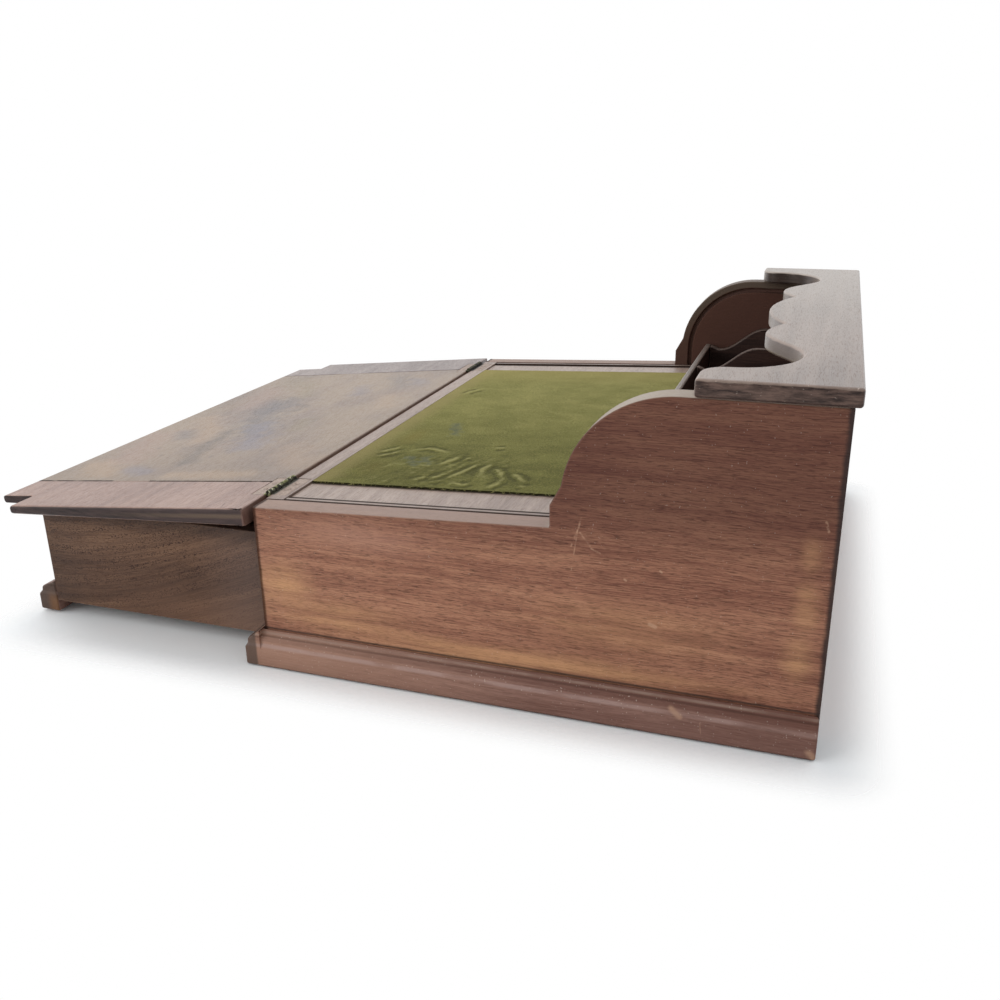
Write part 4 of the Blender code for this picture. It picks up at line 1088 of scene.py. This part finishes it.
# %% Flap cleats
# The far cleat's tones are greyer: a painted reflection of the white room.
FAR_CLEAT_SHEEN_TONES = (srgb(110, 96, 92), srgb(141, 126, 121), srgb(162, 147, 142))
CRACKS = [
    ((0.1478, -0.1357), (0.1476, -0.1293)), ((0.1477, -0.1660), (0.1402, -0.1644)),
    ((0.1643, -0.1494), (0.1573, -0.1481)), ((0.1573, -0.1481), (0.1564, -0.1416)),
    ((0.1680, -0.1409), (0.1586, -0.1435)),
]
for seed, node in enumerate(("flap_cleat_right", "flap_cleat_left"), start=4):
    tones = CLEAT_TONES if "right" in node else FAR_CLEAT_SHEEN_TONES
    wood = walnut(node + "_polish", "X", seed + 0.6, tones, gloss=0.34, shine=0.6, streaks=0.25, pores=0.25,
                  worn=0.0, ends=0.97, end_tones=(srgb(26, 19, 19), srgb(58, 44, 42)))
    end_face = wood.band(abs(wood.facing_x), 0.6, 0.9)
    rearward = end_face * wood.band(wood.y, -0.225, -0.135)
    under = (wood.y - HINGE_AXIS.y) * FLAP_SLOPE + HINGE_AXIS.z - wood.z
    wood.stain(rearward * wood.band(under, 0.0004, 0.0014) * 0.25, srgb(98, 80, 78))
    # A painted highlight along the end grain, where a rounded edge would catch the light.
    painted_ridge_highlight = wood.band(abs(under - 0.0040), 0.0016, 0.0004)
    wood.stain(rearward * painted_ridge_highlight * 0.35, srgb(126, 106, 84))
    corner = wood.band(wood.y + wood.spots * 0.0016, flap_corner.y - 0.0002, flap_corner.y + 0.0006)
    wood.stain(end_face * corner * 0.4, srgb(168, 146, 130))
    for start, end in CRACKS:
        wood.stain(scratch(wood, on_flap(*start), on_flap(*end), 0.0006) * 0.75, GRIME_AND_SHADE)
    flap_board(node, wood)
print("two cleats with", len(CRACKS), "cracks")

# %% [markdown]
# ## Old brass
# Two small brass butt hinges join the flap to the rail. Their plates have gone as brown as
# the wood, and their knuckles are crusted with green and cream verdigris. The distance from
# the hinge's axis says where crust grows, so one finish does for every part of a hinge.

# %% Old brass
CRUST_REACH = (0.0017, 0.0042)


def corroded(name):
    """Brown brass, with green and cream crust near the hinge's axis and a nearly black patch just behind
    it.
    """
    metal = Finish(name)
    from_axis = metal.reach(metal.stretch(metal.away_from(HINGE_AXIS), (0.0, 1.0, 1.0)))
    lumps = metal.clouds(900.0, 4.0, 0.6)
    broad = metal.clouds(300.0, 2.0)
    near = metal.band(from_axis, *CRUST_REACH, 0.22, -0.24)
    green = metal.band((lumps + broad) * 0.5 + near, 0.46, 0.62)
    pale = metal.band(lumps, 0.52, 0.62)
    metal.colour = metal.ramp(lumps, [(0.35, srgb(134, 114, 102)), (0.65, srgb(168, 148, 134))])
    metal.stain(green, srgb(122, 122, 78))
    metal.stain(green * pale, srgb(220, 216, 190))
    metal.stain(green * metal.band(broad, 0.50, 0.40), srgb(44, 42, 24))
    farther = metal.band(metal.x, 0.0, -0.05)
    metal.stain(green * farther * 0.8, srgb(40, 38, 32))
    # Nearly black just behind the axis, round the knuckle's back.
    behind = metal.band(metal.y, HINGE_AXIS.y + 0.0006, HINGE_AXIS.y + 0.0014)
    metal.stain(behind * metal.band(from_axis, 0.0042, 0.0026) * 0.9, srgb(26, 20, 16))
    metal.roughness = metal.band(green, 0.0, 1.0, 0.5, 0.9)
    metal.feed("Metallic", metal.band(green, 0.0, 1.0, 0.2, 0.0))
    metal.height = lumps
    return metal


old_brass = corroded("old_brass").close(0.5, 0.0003)
print("brass with crust up to", CRUST_REACH[1] * 1000, "mm from the axis")

# %% [markdown]
# ## The hinges
# The crust is thick enough to change the hinge's outline, so bump alone would not do. Voxels
# give a closed skin that can swell anywhere: each leaf is remeshed and then displaced by
# noise, most of all at its knuckles. The pins keep their solids.

# %% Hinge leaves
LEAF_VOXEL = 0.00018
CRUST_SWELL = 0.00024
LUMP_SIZE = 0.0009


def leaf(node):
    """A hinge leaf with crust that swells round the knuckles."""
    piece = copy_of(node, node + "_brass")
    pick(piece)
    bpy.ops.object.modifier_add(type="REMESH")
    piece.modifiers[-1].mode = "VOXEL"
    piece.modifiers[-1].voxel_size = LEAF_VOXEL
    bpy.ops.object.modifier_apply(modifier=piece.modifiers[-1].name)
    crust = piece.vertex_groups.new(name="crust")
    for point in piece.data.vertices:
        away = math.hypot(point.co.y - HINGE_AXIS.y, point.co.z - HINGE_AXIS.z)
        share = (CRUST_REACH[1] - away) / (CRUST_REACH[1] - CRUST_REACH[0])
        outward = 1.0 - abs(point.normal.x)
        crust.add([point.index], max(0.08, min(1.0, share)) * outward, "REPLACE")
    bpy.ops.object.modifier_add(type="DISPLACE")
    lumps = bpy.data.textures.new(node + "_lumps", "CLOUDS")
    lumps.noise_scale = LUMP_SIZE
    piece.modifiers[-1].texture = lumps
    piece.modifiers[-1].strength = CRUST_SWELL
    piece.modifiers[-1].mid_level = 0.35
    piece.modifiers[-1].vertex_group = "crust"
    bpy.ops.object.modifier_apply(modifier=piece.modifiers[-1].name)
    bpy.ops.object.shade_smooth()
    hand_over(piece, old_brass, node)
    return piece


for side in ("right", "left"):
    for part in ("case_leaf", "flap_leaf"):
        made = leaf(f"hinge_{part}_{side}")
        print(made.name, len(made.data.polygons), "faces")
    pin = frame["nodes"][f"hinge_pin_{side}"]
    pin.data.materials.clear()
    pin.data.materials.append(old_brass)

# %% [markdown]
# ## The screws
# Each leaf is held by two countersunk screws, dull as the plates. What makes a screw read
# as one is its slot, so a thin bar is cut out of the head, turned differently on each.

# %% Screws
SLOT_LENGTH = 0.006
SLOT_WIDTH = 0.0004
SLOT_DEPTH = 0.0004
SCREW_LEAN = {"case": math.radians(2.64), "flap": math.radians(5.5)}
turns = random.Random(7)


def screw(node, lean):
    """A screw with a slot across its head, which leans with the board it is in."""
    piece = copy_of(node, node + "_brass")
    low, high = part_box(node)
    middle = ((low.x + high.x) / 2, (low.y + high.y) / 2, high.z)
    turn = Euler((lean, 0.0, 0.0)).to_matrix() @ Matrix.Rotation(turns.uniform(0.0, math.pi), 3, "Z")
    bpy.ops.object.select_all(action="DESELECT")
    bpy.ops.mesh.primitive_cube_add(size=1.0, location=middle, rotation=turn.to_euler())
    bar = bpy.context.object
    bar.scale = (SLOT_LENGTH, SLOT_WIDTH, 2 * SLOT_DEPTH)
    pick(piece)
    bpy.ops.object.modifier_add(type="BOOLEAN")
    piece.modifiers[-1].object = bar
    piece.modifiers[-1].operation = "DIFFERENCE"
    bpy.ops.object.modifier_apply(modifier=piece.modifiers[-1].name)
    bpy.data.objects.remove(bar)
    settle(piece)
    hand_over(piece, old_brass, node)


for side in ("right", "left"):
    for number in (1, 2):
        for part, lean in SCREW_LEAN.items():
            screw(f"hinge_{part}_screw_{side}_{number}", lean)
print("eight screws")

# %% [markdown]
# ## The ruffled pile
# A piece of green baize is glued to the slope. Where a hand rested, its pile is ruffled into
# crescents. Glued cloth needs no simulation: each ruffle is a bent line on the slope, and a
# point near it is lifted on the line and pressed down beside it.

# %% Ruffled pile
RUFFLE_WIDTH = 0.0016
TROUGH_AWAY = 0.0033
RUFFLE_BORDER = 0.008
RUFFLES = [
    ((0.0958, -0.0647), (0.0888, -0.0622), (0.0823, -0.0588), (0.0760, -0.0568)),
    ((0.1103, -0.0505), (0.1013, -0.0478), (0.0946, -0.0456), (0.0862, -0.0445)),
    ((0.1182, -0.0674), (0.1133, -0.0648), (0.1097, -0.0621)),
    ((0.1131, -0.0592), (0.1098, -0.0574), (0.1073, -0.0564)),
    ((0.1214, -0.0593), (0.1172, -0.0560), (0.1145, -0.0535)),
    ((0.1186, -0.0462), (0.1199, -0.0403), (0.1163, -0.0366)),
    ((0.1059, -0.0374), (0.0975, -0.0388), (0.0918, -0.0378), (0.0860, -0.0377)),
    ((0.0968, -0.0339), (0.0956, -0.0313), (0.1028, -0.0271), (0.1099, -0.0242)),
    ((0.1099, -0.0242), (0.1159, -0.0249), (0.1206, -0.0267), (0.1232, -0.0297)),
    ((0.1013, -0.0228), (0.1031, -0.0192), (0.1071, -0.0160), (0.1125, -0.0128)),
    ((0.1171, -0.0142), (0.1186, -0.0099)),
    ((0.0842, -0.0538), (0.0797, -0.0527), (0.0786, -0.0510)),
    ((0.0611, -0.0458), (0.0592, -0.0387)),
    ((0.0705, -0.0876), (0.0657, -0.0794), (0.0684, -0.0726), (0.0721, -0.0666)),
    ((0.0834, -0.1024), (0.0781, -0.0968), (0.0721, -0.0927)),
    ((0.0755, -0.1038), (0.0702, -0.0993), (0.0641, -0.0951)),
    ((-0.0526, -0.1055), (-0.0611, -0.1024), (-0.0700, -0.0966)),
]


def fold(here, points):
    """1 on one crest and below 0 in the troughs beside it, thinning out at its ends."""
    for axis in (0, 1):
        spread = [point[axis] for point in points]
        if not min(spread) - RUFFLE_BORDER < here[axis] < max(spread) + RUFFLE_BORDER:
            return 0.0
    nearest = (1.0, 0.0)
    for index, (start, end) in enumerate(zip(points, points[1:])):
        run = Vector(end) - Vector(start)
        off = here - Vector(start)
        share = min(1.0, max(0.0, off.dot(run) / run.length_squared))
        nearest = min(nearest, ((off - run * share).length, (index + share) / (len(points) - 1)))
    gap, along = nearest
    taper = min(1.0, 3 * along + 0.15, 3 * (1.0 - along) + 0.15)
    crest = math.exp(-((gap / RUFFLE_WIDTH) ** 2))
    trough = math.exp(-(((gap - TROUGH_AWAY) / RUFFLE_WIDTH) ** 2))
    return taper * (crest - 0.7 * trough)


def ruffle(x, y):
    """From -1, pressed down, to 1, lifted: how the pile lies at a place on the cloth."""
    waver = noise.noise_vector(Vector((x * 350.0, y * 350.0, 2.0))).to_2d() * 0.0006
    here = Vector((x, y)) + waver
    found = sum(fold(here, points) for points in RUFFLES)
    found *= 0.9 + 0.6 * noise.noise(here.to_3d() * 300.0)
    rubbed = math.exp(-(((x - 0.098) / 0.036) ** 2) - (((y + 0.058) / 0.048) ** 2))
    lean = y + 0.35 * x
    found += 0.8 * rubbed * noise.noise(Vector((x * 90.0, lean * 300.0, 7.0)))
    found += 0.6 * rubbed * noise.noise(Vector((x * 420.0, y * 420.0, 3.0)))
    return max(-1.0, min(1.0, found))


print(len(RUFFLES), "ruffles")

# %% [markdown]
# ## The cloth's shape
# A flat plane would look like paint, so a fine grid is laid on the slope, twice as close
# where it is ruffled, and each point is lifted. The cut edge is a little ragged, and the
# front edge reaches nearly to the rail. Each point remembers how its pile lies, for the
# finish.

# %% Cloth shape
SLOPE = math.tan(math.radians(2.64))
CLOTH_THICK = 0.0008
CLOTH_STEP = 0.0006
RUFFLE_LIFT = 0.00028
UNEVEN_LIFT = 0.00006
FRONT_REACH = 0.0011
EDGE_RAGGED = 0.0005
ON_EDGE = 0.4999


def packed(share):
    """Places the grid's lines more than twice as close near the camera as far away."""
    return 1.5 * share if share < 0.4 else 0.6 + (share - 0.4) * 2.0 / 3.0


cloth_low, cloth_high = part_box("writing_cloth")
cloth_low = cloth_low - Vector((0.0, FRONT_REACH, 0.0))
cloth_wide = cloth_high.x - cloth_low.x
cloth_deep = cloth_high.y - cloth_low.y
cloth_level = cloth_high.z - SLOPE * cloth_high.y
columns = round(cloth_wide / 1.4 / CLOTH_STEP)
rows = round(cloth_deep / CLOTH_STEP)
bpy.ops.object.select_all(action="DESELECT")
bpy.ops.mesh.primitive_grid_add(x_subdivisions=columns, y_subdivisions=rows, size=1.0)
cloth = bpy.context.object
cloth.name = "baize"
lie = cloth.data.attributes.new("lie", "FLOAT", "POINT")
for point in cloth.data.vertices:
    x = cloth_low.x + cloth_wide * packed(point.co.x + 0.5)
    y = cloth_low.y + cloth_deep * (point.co.y + 0.5)
    ruffled = ruffle(x, y)
    lie.data[point.index].value = ruffled
    uneven = noise.noise(Vector((x * 120.0, y * 120.0, 0.0)))
    uneven += 0.5 * noise.noise(Vector((x * 400.0, y * 400.0, 5.0)))
    z = cloth_level + SLOPE * y + RUFFLE_LIFT * ruffled + UNEVEN_LIFT * uneven
    if abs(point.co.x) > ON_EDGE:
        x += EDGE_RAGGED * noise.noise(Vector((y * 500.0, 3.0, x)))
    if abs(point.co.y) > ON_EDGE:
        y += EDGE_RAGGED * max(0.0, noise.noise(Vector((x * 500.0, 9.0, y))))
    point.co = (x, y, z)
print("cloth grid", len(cloth.data.vertices), "points")

# %% [markdown]
# ## The cloth's edge and back
# Cloth has a thickness, which shows as a line along its cut edge, painted dark in the baize's finish for
# the shade under it. Solidify could give it, but here the open rim is extruded straight down and closed
# with one flat face, so that the back lies on the board.

# %% Cloth edge and back
pick(cloth)
bpy.ops.object.mode_set(mode="EDIT")
bpy.ops.mesh.select_mode(type="EDGE")
bpy.ops.mesh.select_all(action="DESELECT")
bpy.ops.mesh.select_non_manifold()
bpy.ops.mesh.extrude_region_move(TRANSFORM_OT_translate={"value": (0.0, 0.0, -CLOTH_THICK)})
bpy.ops.mesh.edge_face_add()
bpy.ops.mesh.select_all(action="SELECT")
bpy.ops.mesh.normals_make_consistent(inside=False)
bpy.ops.object.mode_set(mode="OBJECT")
bpy.ops.object.shade_smooth_by_angle(angle=math.radians(60.0))

# %% [markdown]
# ## Baize
# The green has faded to yellow along the front and far edges and is dirty where a hand rested. It is also
# painted darker near the camera and paler far away, for the sheen that grows at a lower angle. There are a
# few blue ink stains. Felt is a cloud of very fine lumps over a slow nap, with a soft sheen and almost no
# gloss.

# %% Baize
wool = Finish("green_baize")
felt = wool.clouds(1500.0, 3.0, 0.65)
nap = wool.clouds((70.0, 40.0, 60.0), 5.0, 0.6)
tone = wool.band(felt, 0.25, 0.75, 0.2, 0.8) + wool.band(nap, 0.3, 0.7, -0.1, 0.1)
# Painted sheen: darker near the camera and paler far away.
tone = tone + wool.band(wool.x, 0.125, -0.06, -0.2, 0.12)
BAIZE_TONES = (srgb(62, 62, 28), srgb(104, 102, 54), srgb(142, 136, 84))
wool.colour = wool.ramp(tone, list(zip((0.1, 0.5, 0.9), BAIZE_TONES)))
wool.clouding = nap
wool.fibres = felt
wool.spots = nap
front_fade = wool.band(wool.y + nap * 0.012, -0.094, -0.108)
far_fade = wool.band(wool.x + nap * 0.03, -0.060, -0.115)
wool.stain(front_fade * 0.55, srgb(140, 126, 84))
wool.stain(far_fade * 0.45, srgb(150, 136, 84))
print("green baize, faded at the front and far away")

# %% [markdown]
# ## Dirt and ink on the cloth
# Dirt lies in soft patches and ink in blots along a short line, as a dropped pen leaves it.
# The way the pile lies, which each point of the cloth remembers, sets a painted highlight on the crests and
# painted shade in the troughs. The cut edge is painted nearly black, for the shade under it.

# %% Dirt and ink on the cloth
DIRTY = [
    ((0.106, -0.072), (0.030, 0.040), 0.35, srgb(66, 62, 26)),
    ((0.100, -0.097), (0.026, 0.017), 0.45, srgb(82, 68, 30)),
    ((0.045, -0.098), (0.024, 0.011), 0.4, srgb(110, 90, 40)),
    ((0.081, -0.095), (0.007, 0.005), 0.5, srgb(52, 46, 20)),
]
INK = [
    ((0.018, -0.0825), (0.038, -0.0760)),
    ((0.082, -0.0745), (0.092, -0.0690)),
    ((0.083, -0.0830), (0.093, -0.0770)),
]

for (x, y), (wide, deep), strength, colour in DIRTY:
    wool.stain(patch(wool, (x, y, 0.08), (wide, deep, ANY_DEPTH), 1.2) * strength, colour)
blots = wool.clouds(260.0, 2.0)
for line in INK:
    ends = [(x, y, cloth_level + SLOPE * y) for x, y in line]
    near = from_line(wool, *ends) + (blots - 0.5) * 0.012
    wool.stain(wool.band(near, 0.0050, 0.0) * 0.5, srgb(94, 102, 88))
    wool.stain(wool.band(near, 0.0026, 0.0) * wool.band(felt, 0.42, 0.55) * 0.6, srgb(50, 53, 48))
lying = wool.mark("lie")
# Painted highlight on the crests of the pile, and painted shade in its troughs.
wool.stain(wool.band(lying, 0.05, 0.9) * 0.55, srgb(156, 150, 100))
wool.stain(wool.band(lying, -0.05, -0.6) * 0.7, srgb(50, 50, 23))
# The cut edge is painted nearly black, for the shade under it.
wool.stain(wool.band(wool.facing_z, 0.7, 0.3) * 0.9, srgb(30, 28, 16))
wool.roughness = wool.band(felt, 0.0, 1.0, 0.85, 1.0)
wool.height = felt
wool.shader.inputs["Specular IOR Level"].default_value = 0.1
wool.shader.inputs["Sheen Weight"].default_value = 0.25
wool.shader.inputs["Sheen Roughness"].default_value = 0.5
wool.shader.inputs["Sheen Tint"].default_value = srgb(196, 190, 130)
hand_over(cloth, wool.close(0.9, 0.0004), "writing_cloth")
print(len(DIRTY), "dirty patches and", len(INK), "ink stains")

# %% [markdown]
# ## Frayed threads
# The cut edge of the cloth has let go of short woollen threads. Each is a bent line with a
# little thickness. Curves are the quick way to hundreds of them, turned into a mesh after.

# %% Threads
THREADS = 460
THREAD_RADIUS = 0.00008
loose = random.Random(21)
strands = bpy.data.curves.new("threads", "CURVE")
strands.dimensions = "3D"
strands.bevel_depth = THREAD_RADIUS
strands.bevel_resolution = 0
corners = [
    Vector((cloth_high.x, cloth_low.y)), Vector((cloth_high.x, cloth_high.y)),
    Vector((cloth_low.x, cloth_high.y)), Vector((cloth_low.x, cloth_low.y)),
]


def along_the_edge(walk):
    """The point so far along the cloth's edge, and the way out of the cloth there."""
    for start, end in zip(corners, corners[1:] + corners[:1]):
        way = (end - start).normalized()
        if walk < (end - start).length:
            break
        walk -= (end - start).length
    return start + way * walk, Vector((way.y, -way.x))


for _ in range(THREADS):
    root, out = along_the_edge(loose.uniform(0.0, 2 * (cloth_wide + cloth_deep)))
    side = Vector((-out.y, out.x)) * loose.uniform(-1.6, 1.6)
    reach = loose.uniform(0.0004, 0.0016)
    spline = strands.splines.new("POLY")
    spline.points.add(3)
    for step, knot in enumerate(spline.points):
        share = step / 3.0
        place = root + out * (reach * (1.6 * share - 0.6)) + side * (reach * share * share)
        drop = CLOTH_THICK * (0.15 + 0.75 * max(0.0, share - 0.35))
        knot.co = (place.x, place.y, cloth_level + SLOPE * place.y - drop, 1.0)
threads = bpy.data.objects.new("baize_threads", strands)
bpy.context.scene.collection.objects.link(threads)
pick(threads)
bpy.ops.object.convert(target="MESH")
threads = bpy.context.object
print(THREADS, "threads,", len(threads.data.polygons), "faces")

# %% [markdown]
# ## Loose wool
# Loose threads are paler than the felt they came from.

# %% Loose wool
fuzz = Finish("loose_wool")
fuzz.colour = fuzz.ramp(fuzz.clouds(400.0), [(0.35, srgb(96, 94, 46)), (0.65, srgb(164, 156, 100))])
fuzz.roughness = fuzz.band(fuzz.clouds(900.0), 0.0, 1.0, 0.85, 1.0)
fuzz.height = fuzz.clouds(3000.0)
threads.data.materials.append(fuzz.close(0.3, 0.0001))
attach(threads, "case")
print("a stretched sheet with its threads")

# %% [markdown]
